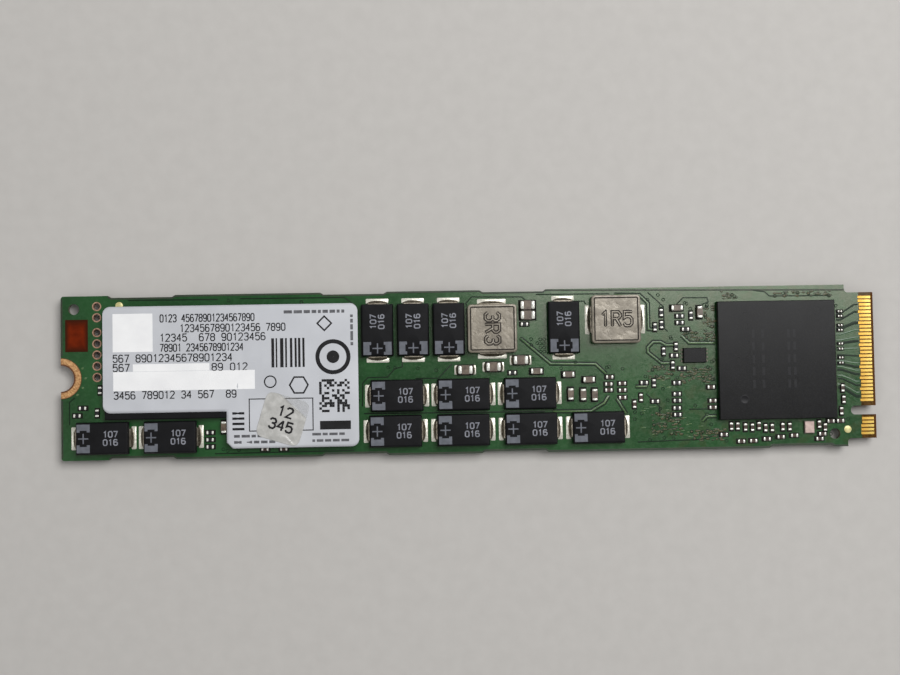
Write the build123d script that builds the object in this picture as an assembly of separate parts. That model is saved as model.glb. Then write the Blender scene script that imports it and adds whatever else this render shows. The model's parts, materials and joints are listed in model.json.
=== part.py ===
from build123d import *
import os

# A solid-state drive card of the M.2 form, 22 x 110 mm, M key, populated on both faces.
# Millimetres. +X points at the edge connector, +Y at the long edge beside contact 1, +Z up.
# The card's length and width add up from the parts that stand side by side on it.

# Circuit board laminate and its edges
board_thickness = 0.8
land_thickness = 0.04
corner_radius = 0.4
upper_margin = 0.94
lower_margin = 1.05
tab_length = 9.0
tab_depth = 0.27
tab_slope = 0.45
tab_from_nand = -4.2
tab_from_bank = -1.0
tab_from_choke = 2.9
tooling_diameter = 1.45
tooling_inset = 1.75
fiducial_diameter = 1.0
fiducial_sides = 16
fiducial_from_nand = 7.2
fiducial_upper_inset = 1.35
fiducial_lower_inset = 2.3

# Edge connector tongue, M key
tongue_depth = 4.0
tongue_side = 0.675
shoulder_depth = 1.075
shoulder_fillet = 0.5
bevel_run = 0.4
bevel_drop = 0.22
contact_step = 0.25
contact_width = 0.35
signal_length = 1.6
ground_extra = 0.15
key_width = 1.2
key_depth = 3.5
pin_count = 75
pins_before_key_count = 58
key_pin_count = 8
ground_pins_upper = (1, 3, 9, 15, 21, 27, 33, 39, 45, 51, 57, 71, 73, 75)
ground_pins_lower = (58, 70, 72, 74)

# Screw notch at the other end
screw_radius = 1.75
screw_land = 1.0

# Debug port, a column of plated eyelets beside the screw notch
port_inset = 4.8
port_drop = 1.4
port_ring = 1.24
port_bore = 0.9
port_pitch = 1.5
port_split = 0.5
port_pair = 2
port_count = 7
port_sides = 16
port_to_package = 0.58

# Ball grid packages
ball_height = 0.2
ball_diameter = 0.42
ball_sides = 6
ball_edge = 0.7
package_height = 1.1
substrate_thickness = 0.22
mold_chamfer = 0.08
nand_long = 18.0
nand_short = 14.0
nand_balls_long = 4
nand_balls_short = 3
package_gap = 0.8
nand_a_gap = 0.3
nand_b_margin = 1.7
nand_upper_margin = 2.3
package_to_bank = 1.43
controller_size = 16.0
controller_margin = 2.1
controller_south_zone = 3.9
controller_to_shoulder = 1.65
controller_balls = 7
dram_long = 13.4
dram_short = 9.0
dram_balls_long = 4
dram_balls_short = 3
dram_to_controller = 3.6

# Moulded tantalum capacitors with folded leads
cap_length = 7.3
cap_width = 4.3
cap_height = 1.4
cap_draft = 0.1
cap_anode_bevel = 0.16
lead_thickness = 0.12
lead_width = 2.4
lead_foot = 1.3
lead_bend = 0.09
upright_count = 3
upright_gap = 0.5
row_gap = 0.45
passive_lane = 2.34
middle_row_start = 1.0
middle_row_gap = 1.65
middle_row_count = 3
lower_row_start = 0.75
lower_row_gap = 1.8
lower_row_count = 4
corner_row_start = 2.0
corner_row_gap = 1.65
corner_row_count = 2
corner_row_margin = 0.8
corner_zone = 5.8

# Solder that stands against the folded leads
solder_reach = 0.66
solder_width = 3.05
solder_rise = 0.45
solder_toe = 0.05

# Moulded power chokes
choke_size = 6.6
choke_depth = 6.5
choke_height = 1.4
choke_corner = 0.45
choke_edge = 0.1
choke_rim = 0.3
choke_groove_width = 0.12
choke_groove_depth = 0.06
choke_groove_corner = 0.27
choke_terminal_width = 3.5
choke_terminal_rise = 0.84
choke_margin_a = 2.0
choke_margin_b = 1.0
bank_to_choke = 0.4
choke_to_cap = 4.22
cap_to_choke = 1.6
coil_zone = 10.7
power_zone = 10.5

# Power chip, counted from the second choke and the card's middle line
power_chip_length = 3.1
power_chip_width = 2.0
power_chip_height = 0.6
power_chip_run = 7.4
power_chip_y = 1.7
power_chip_lead_count = 4
power_chip_lead_pitch = 0.5
power_chip_lead_width = 0.22
power_chip_lead_reach = 0.3
power_chip_lead_height = 0.15

# Clock crystal, counted from the controller
crystal_width = 1.4
crystal_length = 1.7
crystal_base_height = 0.3
crystal_lid_height = 0.2
crystal_lid_inset = 0.1
crystal_run = 4.3
crystal_drop = 1.2

# Chip capacitors and resistors by case: length, width, height, end length
case_large = (2.0, 1.25, 0.85, 0.5)
case_medium = (1.6, 0.8, 0.8, 0.32)
case_small = (1.0, 0.5, 0.35, 0.24)
case_tiny = (0.6, 0.3, 0.3, 0.17)
chip_body_inset = 0.02

# Large chips: a pair beside the first choke, and a row in the lane under it with one medium chip (x, y, turn)
large_pair_run = 1.55
large_pair_rise = 6.35
large_pair_gap = 0.1
lane_chips = [(0.5, 1.18, 0), (-3.2, 0.33, 0), (-7.0, -0.02, 0)]
lane_medium_chips = [(2.6, -0.36, 0)]
lane_smalls = [(-0.65, -0.52, 0)]
choke_a_smalls = [(1.1, 3.8, 0)]

# Chips between the middle capacitor row and the second choke, from the row's end and the middle line
coil_chips = [(0.94, -0.6, 0), (3.69, -1.35, 0), (1.19, -3.25, 90), (2.89, -3.35, 90), (4.44, -3.4, 90)]
coil_smalls = [(6.54, -1.05, 0), (6.39, -2.0, 0), (6.39, -2.8, 0), (8.24, -1.95, 0), (8.24, -2.85, 0),
               (8.24, -3.85, 0), (9.84, -4.8, 90), (10.74, -3.9, 90)]

# Chips of the power zone, from its start and the middle line
feed_chips = [(5.1, 8.15, 0), (8.2, 7.55, 90)]
power_smalls = [(0.45, -1.9, 0), (1.8, -1.95, 90), (1.9, -4.45, 0), (4.9, -2.0, 0), (4.9, -3.5, 0),
                (4.9, -4.4, 0), (4.85, -5.4, 0), (4.9, -6.3, 0), (3.2, 2.3, 90), (4.4, 0.4, 90),
                (5.65, -0.05, 0), (4.65, 1.7, 0), (4.9, 2.9, 90), (3.0, 7.55, 90), (3.0, 5.9, 90),
                (2.1, 5.6, 90), (7.05, 7.1, 90), (5.5, 7.05, 0), (5.5, 6.15, 0), (6.25, 5.25, 0)]

# Chips around the controller, from its sides or from the board's lower edge
west_smalls = [(-0.95, -3.55, 0), (-0.75, -5.4, 0), (-0.75, -6.3, 0)]
south_smalls = [(-6.3, -0.9, 90), (-5.45, -0.9, 90), (-4.4, -1.05, 90), (-3.45, -1.1, 90), (-2.55, -0.9, 90),
                (-1.65, -1.2, 90), (-0.75, -1.2, 90), (0.7, -1.1, 90), (1.65, -1.1, 90), (5.7, -0.85, 90),
                (6.5, -1.25, 90), (7.3, -0.42, 0), (8.6, -0.42, 0)]
edge_smalls = [(-7.35, 1.9, 0), (-5.0, 0.95, 0), (-3.35, 1.0, 0), (-1.5, 1.2, 0), (0.4, 1.45, 0),
               (2.25, 1.6, 0), (6.1, 1.75, 0), (5.7, 1.1, 0)]
east_smalls = [(1.05, -4.0, 90), (1.15, -5.55, 90), (0.8, -7.1, 90)]
east_tiny_rows = (6.45, 5.8, 4.55, 3.9, 2.05, 1.35, 0.15, -0.55)
east_tiny_offset = 0.95

# Chips of the screw end and round the label, from the edge, row or package beside them
screw_smalls = [(2.9, -4.0, 0), (2.15, -5.0, 0)]
port_smalls = [(0.0, -4.7, 90), (0.4, -1.65, 90)]
corner_chips = [(2.79, 4.15, 90)]
corner_smalls = [(0.89, 3.45, 0), (0.89, 2.5, 0), (0.89, 1.55, 0)]
label_upper_smalls = [(1.75, 0.5, 0)]
label_lower_smalls = [(2.3, -0.6, 0), (4.8, -0.6, 0)]

# Chips of the underside: a row at each end of the memory there, and a grid below the controller
dram_bank_columns = 4
dram_bank_pitch = 2.0
dram_bank_gap = 1.1
under_bank_columns = 3
under_bank_rows = 2
under_bank_pitch = 1.9
under_bank_run = 1.5

# Product label, its inspection sticker, and the inked patch by the screw notch
label_thickness = 0.1
label_side_left = 0.2
label_side_right = 0.95
label_top = 0.75
label_bottom = 0.4
label_step = 2.65
label_shelf = 0.85
label_radius = 1.0
label_torn_corner = 0.8
sticker_thickness = 0.05
sticker_length = 6.0
sticker_width = 6.2
sticker_turn = -17.0
sticker_radius = 0.8
sticker_from_right = 10.15
sticker_from_bottom = 3.8
ink_length = 3.0
ink_width = 4.3
ink_inset = 0.6
ink_drop = 3.15

# Share of a wall that a fillet may take, and how close two coordinates count as one
fillet_share = 0.9
snap = 0.01


def row_length(count, gap):
    """Length of a row of lying capacitors, with the solder past its last lead."""
    return count * cap_length + (count - 1) * gap + solder_reach


# Places along X, counted from the screw end, then moved so that the card is centred
corner_row_end = corner_row_start + row_length(corner_row_count, corner_row_gap)
from_screw = {}
from_screw["port"] = port_inset
from_screw["nand_a"] = from_screw["port"] + port_ring / 2 + port_to_package + nand_long / 2
nand_a_end = from_screw["nand_a"] + nand_long / 2
from_screw["nand_b"] = max(nand_a_end + package_gap, corner_row_end + corner_zone) + nand_short / 2
from_screw["bank"] = from_screw["nand_b"] + nand_short / 2 + package_to_bank
bank_length = upright_count * cap_width + (upright_count - 1) * upright_gap
from_screw["choke_a"] = from_screw["bank"] + bank_length + bank_to_choke + choke_size / 2
from_screw["lone_cap"] = from_screw["choke_a"] + choke_size / 2 + choke_to_cap + cap_width / 2
from_screw["choke_b"] = from_screw["lone_cap"] + cap_width / 2 + cap_to_choke + choke_size / 2
from_screw["corner_row_end"] = corner_row_end
middle_row = row_length(middle_row_count, middle_row_gap)
from_screw["middle_row_end"] = from_screw["bank"] + middle_row_start + middle_row
lower_row_end = from_screw["bank"] + lower_row_start + row_length(lower_row_count, lower_row_gap)
coil_end = from_screw["middle_row_end"] + coil_zone
from_screw["power"] = max(from_screw["choke_b"] + choke_size / 2, coil_end, lower_row_end)
from_screw["controller"] = from_screw["power"] + power_zone + controller_size / 2
from_screw["shoulder"] = from_screw["controller"] + controller_size / 2 + controller_to_shoulder
board_length = from_screw["shoulder"] + tongue_depth
place_x = {name: distance - board_length / 2 for name, distance in from_screw.items()}
screw_edge = -board_length / 2
connector_edge = board_length / 2

# The board is as wide as its fullest stack of parts needs
tongue_width = (pin_count - 1) * contact_step + 2 * tongue_side
upright_span = cap_length + 2 * solder_reach
choke_stack = choke_margin_a + choke_depth + lead_thickness + solder_reach
upper_stack = max(upper_margin + upright_span, choke_stack)
capacitor_stack = lower_margin + 2 * cap_width + row_gap + passive_lane + upper_stack
controller_stack = controller_margin + controller_size + controller_south_zone
nand_a_stack = corner_row_margin + cap_width + nand_a_gap + nand_short + nand_upper_margin
nand_b_stack = nand_b_margin + nand_long + nand_upper_margin
tongue_stack = tongue_width + 2 * shoulder_depth
board_width = max(capacitor_stack, controller_stack, nand_a_stack, nand_b_stack, tongue_stack)

# Places along Y, from the two long edges
upper_edge = board_width / 2
lower_edge = -board_width / 2
lower_row_y = lower_edge + lower_margin + cap_width / 2
middle_row_y = lower_row_y + cap_width + row_gap
lane_y = middle_row_y + (cap_width + passive_lane) / 2
upright_y = upper_edge - upper_margin - upright_span / 2
corner_row_y = lower_edge + corner_row_margin + cap_width / 2
nand_a_y = corner_row_y + cap_width / 2 + nand_a_gap + nand_short / 2
nand_b_y = lower_edge + nand_b_margin + nand_long / 2
choke_a_y = upper_edge - choke_margin_a - choke_depth / 2
choke_b_y = upper_edge - choke_margin_b - choke_depth / 2
controller_y = upper_edge - controller_margin - controller_size / 2

# Sides of the parts that small chips stand beside
choke_a_east = place_x["choke_a"] + choke_size / 2
choke_a_south = choke_a_y - choke_depth / 2
controller_west = place_x["controller"] - controller_size / 2
controller_east = place_x["controller"] + controller_size / 2
controller_south = controller_y - controller_size / 2
nand_b_west = place_x["nand_b"] - nand_short / 2
nand_b_south = nand_b_y - nand_long / 2
nand_b_north = nand_b_y + nand_long / 2
dram_x = controller_west - dram_to_controller + dram_short / 2

# Heights: the card rests on the packages of its underside
board_bottom = package_height
board_top = board_bottom + board_thickness
label_bottom_z = board_top + package_height
plated_height = board_thickness + 2 * land_thickness


def contact_y(pin):
    """Centre of a contact, by its number across both faces."""
    return ((1 + pin_count) / 2 - pin) * contact_step


def block(length, width, height, x, y, z):
    """A box centred at x, y that stands on z."""
    return Pos(x, y, z + height / 2) * Box(length, width, height)


def ridge(points, width):
    """A profile of (x, z) points, carried across Y to both sides of the middle."""
    return extrude(Plane.XZ * make_face(Polyline(*points, close=True)), width / 2, both=True)


def tab_recess(x, edge, inward):
    """Shallow recess that a broken-off panel tab leaves in a long edge."""
    long_half = tab_length / 2
    short_half = long_half - tab_slope
    floor = edge + inward * tab_depth
    beyond = edge - inward * tab_depth
    points = [(x - long_half, edge), (x - short_half, floor), (x + short_half, floor), (x + long_half, edge),
              (x + long_half, beyond), (x - long_half, beyond)]
    return make_face(Polyline(*points, close=True))


def tooling_places():
    """The two tooling holes, in opposite corners of the board."""
    near = (screw_edge + tooling_inset, upper_edge - tooling_inset)
    far = (place_x["shoulder"] - tooling_inset, lower_edge + tooling_inset)
    return [near, far]


def port_places():
    """The debug port's eyelets: a pair, a wider gap, then the rest at one pitch."""
    first = upper_edge - port_drop
    drops = [step * port_pitch + (port_split if step >= port_pair else 0) for step in range(port_count)]
    return [(place_x["port"], first - drop) for drop in drops]


def key_slot():
    """Slot between the two contact groups, with a full-radius end."""
    centre = contact_y(pins_before_key_count + (key_pin_count + 1) / 2)
    end = connector_edge - key_depth + key_width / 2
    beyond = connector_edge + key_width
    straight = Pos((end + beyond) / 2, centre) * Rectangle(beyond - end, key_width)
    return straight + Pos(end, centre) * Circle(key_width / 2)


def board_outline():
    """Main rectangle with rounded corners at the screw end, and the tongue with filleted roots."""
    shoulder = place_x["shoulder"]
    main = Pos((screw_edge + shoulder) / 2, 0) * Rectangle(shoulder - screw_edge, board_width)
    main = fillet(main.vertices().group_by(Axis.X)[0], corner_radius)
    root = shoulder - shoulder_fillet
    outline = main + Pos((root + connector_edge) / 2, 0) * Rectangle(connector_edge - root, tongue_width)
    roots = [v for v in outline.vertices() if abs(v.X - shoulder) < snap and abs(v.Y) < upper_edge - snap]
    return fillet(roots, min(shoulder_fillet, (board_width - tongue_width) / 2 * fillet_share))


def circuit_board():
    """Board with bevelled tongue, key slot, screw notch, panel-tab recesses and drilled holes."""
    outline = board_outline() - key_slot()
    outline -= Pos(screw_edge, 0) * Circle(screw_radius)
    tabs = {"nand_a": tab_from_nand, "bank": tab_from_bank, "choke_a": tab_from_choke}
    for name, shift in tabs.items():
        x = place_x[name] + shift
        outline -= tab_recess(x, upper_edge, -1)
        outline -= tab_recess(x, lower_edge, 1)
    outline -= tab_recess(place_x["shoulder"] - tab_length / 2 - tooling_inset, lower_edge, 1)
    for x, y in tooling_places():
        outline -= Pos(x, y) * Circle(tooling_diameter / 2)
    for x, y in port_places():
        outline -= Pos(x, y) * RegularPolygon(port_ring / 2, port_sides)
    board = Pos(0, 0, board_bottom) * extrude(outline, board_thickness)
    return board - tongue_bevels()


def tongue_bevels():
    """Wedges that bevel the tongue's front edge on both faces."""
    start = connector_edge - bevel_run
    end = connector_edge + bevel_run
    drop = bevel_drop * 2
    upper = [(start, board_top), (end, board_top - drop), (end, board_top + drop), (start, board_top + drop)]
    lower = [(start, board_bottom), (end, board_bottom + drop), (end, board_bottom - drop),
             (start, board_bottom - drop)]
    return [ridge(points, board_width) for points in (upper, lower)]


def edge_contacts(pins, ground_pins, z):
    """Gold fingers of one face; ground fingers run a little further inward."""
    end = connector_edge - bevel_run
    fingers = []
    for pin in pins:
        if 0 < pin - pins_before_key_count <= key_pin_count:
            continue
        length = signal_length + (ground_extra if pin in ground_pins else 0)
        fingers.append(block(length, contact_width, land_thickness, end - length / 2, contact_y(pin), z))
    return Compound(fingers)


def screw_pad():
    """Half-ring lands round the screw notch, one on each face, that the screw's head clamps on."""
    outer = screw_radius + screw_land
    keep = Rectangle(outer, 2 * outer, align=(Align.MIN, Align.CENTER))
    half_ring = extrude((Circle(outer) - Circle(screw_radius)) & keep, land_thickness)
    return Compound([Pos(screw_edge, 0, z) * half_ring for z in (board_bottom - land_thickness, board_top)])


def debug_port():
    """Plated eyelets that go through the board and stand proud of it by the land thickness."""
    ring = RegularPolygon(port_ring / 2, port_sides) - RegularPolygon(port_bore / 2, port_sides)
    eyelet = extrude(ring, plated_height)
    return Compound([Pos(x, y, board_bottom - land_thickness) * eyelet for x, y in port_places()])


def fiducials():
    """Bare round lands in two corners, by which the board was aligned for placement."""
    near = (place_x["nand_a"] - fiducial_from_nand, upper_edge - fiducial_upper_inset)
    far = (place_x["shoulder"], lower_edge + fiducial_lower_inset)
    land = extrude(RegularPolygon(fiducial_diameter / 2, fiducial_sides), land_thickness)
    return Compound([Pos(x, y, board_top) * land for x, y in (near, far)])


def facing(z_side, shape):
    """Stand a part that was drawn on z = 0 on the upper (1) or under (-1) face of the board."""
    if z_side > 0:
        return Pos(0, 0, board_top) * shape
    return Pos(0, 0, board_bottom) * Rot(180, 0, 0) * shape


def package_layers(length, width):
    """Laminate substrate and moulded cap of a ball grid package, drawn on z = 0."""
    substrate = block(length, width, substrate_thickness, 0, 0, ball_height)
    cap_z = ball_height + substrate_thickness
    cap = block(length, width, package_height - cap_z, 0, 0, cap_z)
    cap = chamfer(cap.faces().sort_by(Axis.Z)[-1].edges(), mold_chamfer)
    return substrate, cap


def package_balls(length, width, count_x, count_y):
    """Outer ring of a package's solder balls, as short faceted posts, drawn on z = 0."""
    step_x = (length - 2 * ball_edge) / (count_x - 1)
    step_y = (width - 2 * ball_edge) / (count_y - 1)
    ball = extrude(RegularPolygon(ball_diameter / 2, ball_sides), ball_height)
    places = [(i, j) for i in range(count_x) for j in range(count_y)
              if i in (0, count_x - 1) or j in (0, count_y - 1)]
    corner = Pos(ball_edge - length / 2, ball_edge - width / 2)
    return [corner * Pos(i * step_x, j * step_y) * ball for i, j in places]


def packages():
    """Every ball grid package: name, centre, size, balls along each side, and face of the board."""
    nand_a = (place_x["nand_a"], nand_a_y, nand_long, nand_short, nand_balls_long, nand_balls_short)
    nand_b = (place_x["nand_b"], nand_b_y, nand_short, nand_long, nand_balls_short, nand_balls_long)
    return {
        "controller": (place_x["controller"], controller_y, controller_size, controller_size,
                       controller_balls, controller_balls, 1),
        "nand_a": (*nand_a, 1),
        "nand_b": (*nand_b, 1),
        "nand_c": (*nand_a, -1),
        "nand_d": (*nand_b, -1),
        "dram": (dram_x, 0, dram_short, dram_long, dram_balls_short, dram_balls_long, -1),
    }


def lying_row(start, y, count, gap):
    """Centres of a row of capacitors that lie end to end along X."""
    return [(start + cap_length / 2 + i * (cap_length + gap), y, 0) for i in range(count)]


def capacitor_places():
    """Every moulded capacitor: centre and turn; the anode end points along -X before the turn."""
    bank = place_x["bank"]
    first = bank + cap_width / 2
    uprights = [(first + i * (cap_width + upright_gap), upright_y, 90) for i in range(upright_count)]
    corner_row = lying_row(screw_edge + corner_row_start, corner_row_y, corner_row_count, corner_row_gap)
    middle_row = lying_row(bank + middle_row_start, middle_row_y, middle_row_count, middle_row_gap)
    lower_row = lying_row(bank + lower_row_start, lower_row_y, lower_row_count, lower_row_gap)
    return corner_row + uprights + [(place_x["lone_cap"], upright_y, 90)] + middle_row + lower_row


def capacitor_body():
    """Moulded case: two halves drafted away from the parting line, bevelled over the anode end."""
    length = cap_length - 2 * lead_thickness
    half = (cap_height - lead_thickness) / 2
    parting = lead_thickness + half
    section = Rectangle(length, cap_width)
    crown = Rectangle(length - 2 * cap_draft, cap_width - 2 * cap_draft)
    upper = loft([Pos(0, 0, parting) * section, Pos(0, 0, parting + half) * crown])
    lower = loft([Pos(0, 0, parting) * section, Pos(0, 0, parting - half) * crown])
    case = upper + lower
    anode_edge = case.faces().sort_by(Axis.Z)[-1].edges().sort_by(Axis.X)[0]
    return chamfer(anode_edge, cap_anode_bevel)


def folded_lead(outer, width, rise, foot):
    """Strip that comes down an end face at +X and folds under the part, drawn on z = 0."""
    inner = outer - lead_thickness
    toe = outer - foot
    return ridge([(outer, lead_bend), (outer, rise), (inner, rise), (inner, lead_thickness),
                  (toe, lead_thickness), (toe, 0), (outer - lead_bend, 0)], width)


def solder_wedge(outer, width):
    """Solder drawn up against a lead's outer face at +X, on z = 0."""
    tip = outer + solder_reach
    return ridge([(outer, 0), (outer, solder_rise), (tip, solder_toe), (tip, 0)], width)


def choke_core():
    """Pressed iron-powder block with rounded corners and a groove just inside its upper rim."""
    outline = RectangleRounded(choke_size, choke_depth, choke_corner)
    body = Pos(0, 0, lead_thickness) * extrude(outline, choke_height - lead_thickness)
    body = chamfer(body.faces().sort_by(Axis.Z)[-1].edges(), choke_edge)
    insets = (choke_rim, choke_rim + choke_groove_width)
    outer, inner = [Rectangle(choke_size - 2 * inset, choke_depth - 2 * inset) for inset in insets]
    ring = chamfer(outer.vertices(), choke_groove_corner) - chamfer(inner.vertices(), choke_groove_corner)
    return body - Pos(0, 0, choke_height - choke_groove_depth) * extrude(ring, choke_groove_depth)


def two_ends(part):
    """A part at +X and its twin at -X."""
    return [part, Rot(0, 0, 180) * part]


def chokes():
    """Both power chokes: name, centre, turn and core size along the terminals."""
    return {"choke_a": (place_x["choke_a"], choke_a_y, 90, choke_depth),
            "choke_b": (place_x["choke_b"], choke_b_y, 0, choke_size)}


def power_chip():
    """Small power converter: moulded body and flat leads along its two short sides."""
    centre = Pos(place_x["power"] + power_chip_run, power_chip_y, board_top)
    body = block(power_chip_length, power_chip_width, power_chip_height, 0, 0, 0)
    body = chamfer(body.faces().sort_by(Axis.Z)[-1].edges(), mold_chamfer)
    span = (power_chip_lead_count - 1) * power_chip_lead_pitch
    x = (power_chip_length + power_chip_lead_reach) / 2
    lead = block(power_chip_lead_reach, power_chip_lead_width, power_chip_lead_height, x, 0, 0)
    row = [Pos(0, i * power_chip_lead_pitch - span / 2) * lead for i in range(power_chip_lead_count)]
    leads = [end for one in row for end in two_ends(one)]
    return centre * body, Compound([centre * lead for lead in leads])


def crystal():
    """Clock crystal: ceramic base and a metal lid set in from its edge."""
    x = place_x["controller"] + crystal_run
    y = controller_south - crystal_drop
    base = block(crystal_width, crystal_length, crystal_base_height, x, y, board_top)
    lid = block(crystal_width - 2 * crystal_lid_inset, crystal_length - 2 * crystal_lid_inset,
                crystal_lid_height, x, y, board_top + crystal_base_height)
    return base, lid


def chip(case, turn):
    """A chip part on z = 0: ceramic body between two plated ends."""
    length, width, height, end = case
    inset = chip_body_inset
    body = block(length - 2 * end, width - 2 * inset, height - 2 * inset, 0, 0, inset)
    plated = block(end, width, height, (length - end) / 2, 0, 0)
    turned = Rot(0, 0, turn)
    return turned * body, [turned * one for one in two_ends(plated)]


def shifted(origin_x, origin_y, offsets):
    """Offsets moved to the part or edge that they are counted from."""
    return [(origin_x + x, origin_y + y, turn) for x, y, turn in offsets]


def large_chip_places():
    """Large ceramic capacitors: the pair beside the first choke, and those in the lane below it."""
    pair = [(large_pair_run, large_pair_rise - i * (case_large[1] + large_pair_gap), 0) for i in range(2)]
    return shifted(choke_a_east, choke_a_south, pair) + shifted(choke_a_east, lane_y, lane_chips)


def medium_chip_places():
    """Medium ceramic capacitors: in the lane, under the second choke, in the power zone, by the corner row."""
    return (shifted(choke_a_east, lane_y, lane_medium_chips) + shifted(place_x["middle_row_end"], 0, coil_chips)
            + shifted(place_x["power"], 0, feed_chips)
            + shifted(place_x["corner_row_end"], lower_edge, corner_chips))


def small_resistor_places():
    """Small resistors: in the power zone, at the screw end and in the capacitor lane."""
    return (shifted(place_x["power"], 0, power_smalls) + shifted(screw_edge, 0, screw_smalls)
            + shifted(place_x["port"], 0, port_smalls)
            + shifted(place_x["corner_row_end"], lower_edge, corner_smalls)
            + shifted(choke_a_east, lane_y, lane_smalls)
            + shifted(choke_a_east, choke_a_south, choke_a_smalls))


def small_capacitor_places():
    """Small decoupling capacitors around the controller, the second choke and the label."""
    return (shifted(place_x["middle_row_end"], 0, coil_smalls)
            + shifted(controller_west, controller_y, west_smalls)
            + shifted(place_x["controller"], controller_south, south_smalls)
            + shifted(place_x["controller"], lower_edge, edge_smalls)
            + shifted(controller_east, controller_y, east_smalls)
            + shifted(nand_b_west, nand_b_north, label_upper_smalls)
            + shifted(nand_b_west, nand_b_south, label_lower_smalls))


def underside_places():
    """Capacitors of the underside: a row at each end of the memory, and a grid below the controller."""
    row_y = dram_long / 2 + dram_bank_gap
    row_x = dram_x - (dram_bank_columns - 1) * dram_bank_pitch / 2
    rows = [(row_x + i * dram_bank_pitch, side * row_y, 90)
            for i in range(dram_bank_columns) for side in (-1, 1)]
    grid_x = place_x["controller"] + under_bank_run
    grid_y = controller_y - (under_bank_rows - 1) * under_bank_pitch / 2
    grid = [(grid_x + i * under_bank_pitch, grid_y + j * under_bank_pitch, 0)
            for i in range(under_bank_columns) for j in range(under_bank_rows)]
    return rows + grid


def chips_at(places, case, z_side=1):
    """Bodies and plated ends of one case size at every place."""
    bodies = []
    ends = []
    for x, y, turn in places:
        body, plated = chip(case, turn)
        bodies.append(Pos(x, y) * facing(z_side, body))
        ends += [Pos(x, y) * facing(z_side, end) for end in plated]
    return bodies, ends


def label_and_sticker():
    """Stepped paper label over both memory packages, and the small clear sticker put across it."""
    left = place_x["nand_a"] - nand_long / 2 - label_side_left
    right = place_x["nand_b"] + nand_short / 2 + label_side_right
    top = nand_b_north + label_top
    bottom = nand_b_south - label_bottom
    shelf = nand_a_y - nand_short / 2 + label_shelf
    step = nand_b_west - label_step
    torn = label_torn_corner
    face = make_face(Polyline((left, top), (right, top), (right, bottom), (step + torn, bottom),
                              (step, bottom + torn), (step, shelf), (left, shelf), close=True))
    cut = [(step + torn, bottom), (step, bottom + torn)]
    rounded = [v for v in face.vertices() if min(abs(v.X - x) + abs(v.Y - y) for x, y in cut) > snap]
    label = Pos(0, 0, label_bottom_z) * extrude(fillet(rounded, label_radius), label_thickness)
    film = extrude(RectangleRounded(sticker_length, sticker_width, sticker_radius), sticker_thickness)
    centre = Pos(right - sticker_from_right, bottom + sticker_from_bottom, label_bottom_z + label_thickness)
    return label, centre * Rot(0, 0, sticker_turn) * film


parts = {}
parts["circuit_board"] = circuit_board()
upper_pins = range(1, pin_count + 1, 2)
lower_pins = range(2, pin_count + 1, 2)
parts["edge_contacts_top"] = edge_contacts(upper_pins, ground_pins_upper, board_top)
parts["edge_contacts_bottom"] = edge_contacts(lower_pins, ground_pins_lower, board_bottom - land_thickness)
parts["screw_pad"] = screw_pad()
parts["debug_port"] = debug_port()
parts["fiducials"] = fiducials()

memory_balls = []
for name, (x, y, length, width, count_x, count_y, side) in packages().items():
    substrate, cap = package_layers(length, width)
    balls = [Pos(x, y) * facing(side, ball) for ball in package_balls(length, width, count_x, count_y)]
    parts[name + "_substrate"] = Pos(x, y) * facing(side, substrate)
    parts[name + "_mold"] = Pos(x, y) * facing(side, cap)
    if name == "controller":
        parts["controller_balls"] = Compound(balls)
    else:
        memory_balls += balls
parts["memory_balls"] = Compound(memory_balls)

body = capacitor_body()
lead = folded_lead(cap_length / 2, lead_width, (cap_height + lead_thickness) / 2, lead_foot)
wedge = solder_wedge(cap_length / 2, solder_width)
cathodes = []
anodes = []
solder = []
for number, (x, y, turn) in enumerate(capacitor_places(), 1):
    seat = Pos(x, y, board_top) * Rot(0, 0, turn)
    parts[f"capacitor_{number}"] = seat * body
    cathode, anode = two_ends(lead)
    cathodes.append(seat * cathode)
    anodes.append(seat * anode)
    solder += [seat * end for end in two_ends(wedge)]
parts["capacitor_anode_leads"] = Compound(anodes)
parts["capacitor_cathode_leads"] = Compound(cathodes)

for name, (x, y, turn, span) in chokes().items():
    seat = Pos(x, y, board_top) * Rot(0, 0, turn)
    outer = span / 2 + lead_thickness
    terminal = folded_lead(outer, choke_terminal_width, choke_terminal_rise, lead_foot)
    parts[name + "_core"] = Pos(x, y, board_top) * choke_core()
    parts[name + "_terminals"] = Compound([seat * end for end in two_ends(terminal)])
    solder += [seat * end for end in two_ends(solder_wedge(outer, choke_terminal_width))]
parts["solder_joints"] = Compound(solder)

parts["power_chip_body"], parts["power_chip_leads"] = power_chip()
parts["crystal_base"], parts["crystal_lid"] = crystal()

large_bodies, large_ends = chips_at(large_chip_places(), case_large)
medium_bodies, medium_ends = chips_at(medium_chip_places(), case_medium)
parts["ceramic_capacitor_bodies"] = Compound(large_bodies + medium_bodies)
parts["ceramic_capacitor_ends"] = Compound(large_ends + medium_ends)

tiny_places = [(controller_east + east_tiny_offset, controller_y + y, 0) for y in east_tiny_rows]
resistor_bodies, resistor_ends = chips_at(small_resistor_places(), case_small)
small_bodies, small_ends = chips_at(small_capacitor_places(), case_small)
tiny_bodies, tiny_ends = chips_at(tiny_places, case_tiny)
under_bodies, under_ends = chips_at(underside_places(), case_small, -1)
parts["small_resistor_bodies"] = Compound(resistor_bodies)
parts["small_capacitor_bodies"] = Compound(small_bodies + tiny_bodies)
parts["small_chip_ends"] = Compound(resistor_ends + small_ends + tiny_ends)
parts["underside_capacitor_bodies"] = Compound(under_bodies)
parts["underside_capacitor_ends"] = Compound(under_ends)

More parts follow.
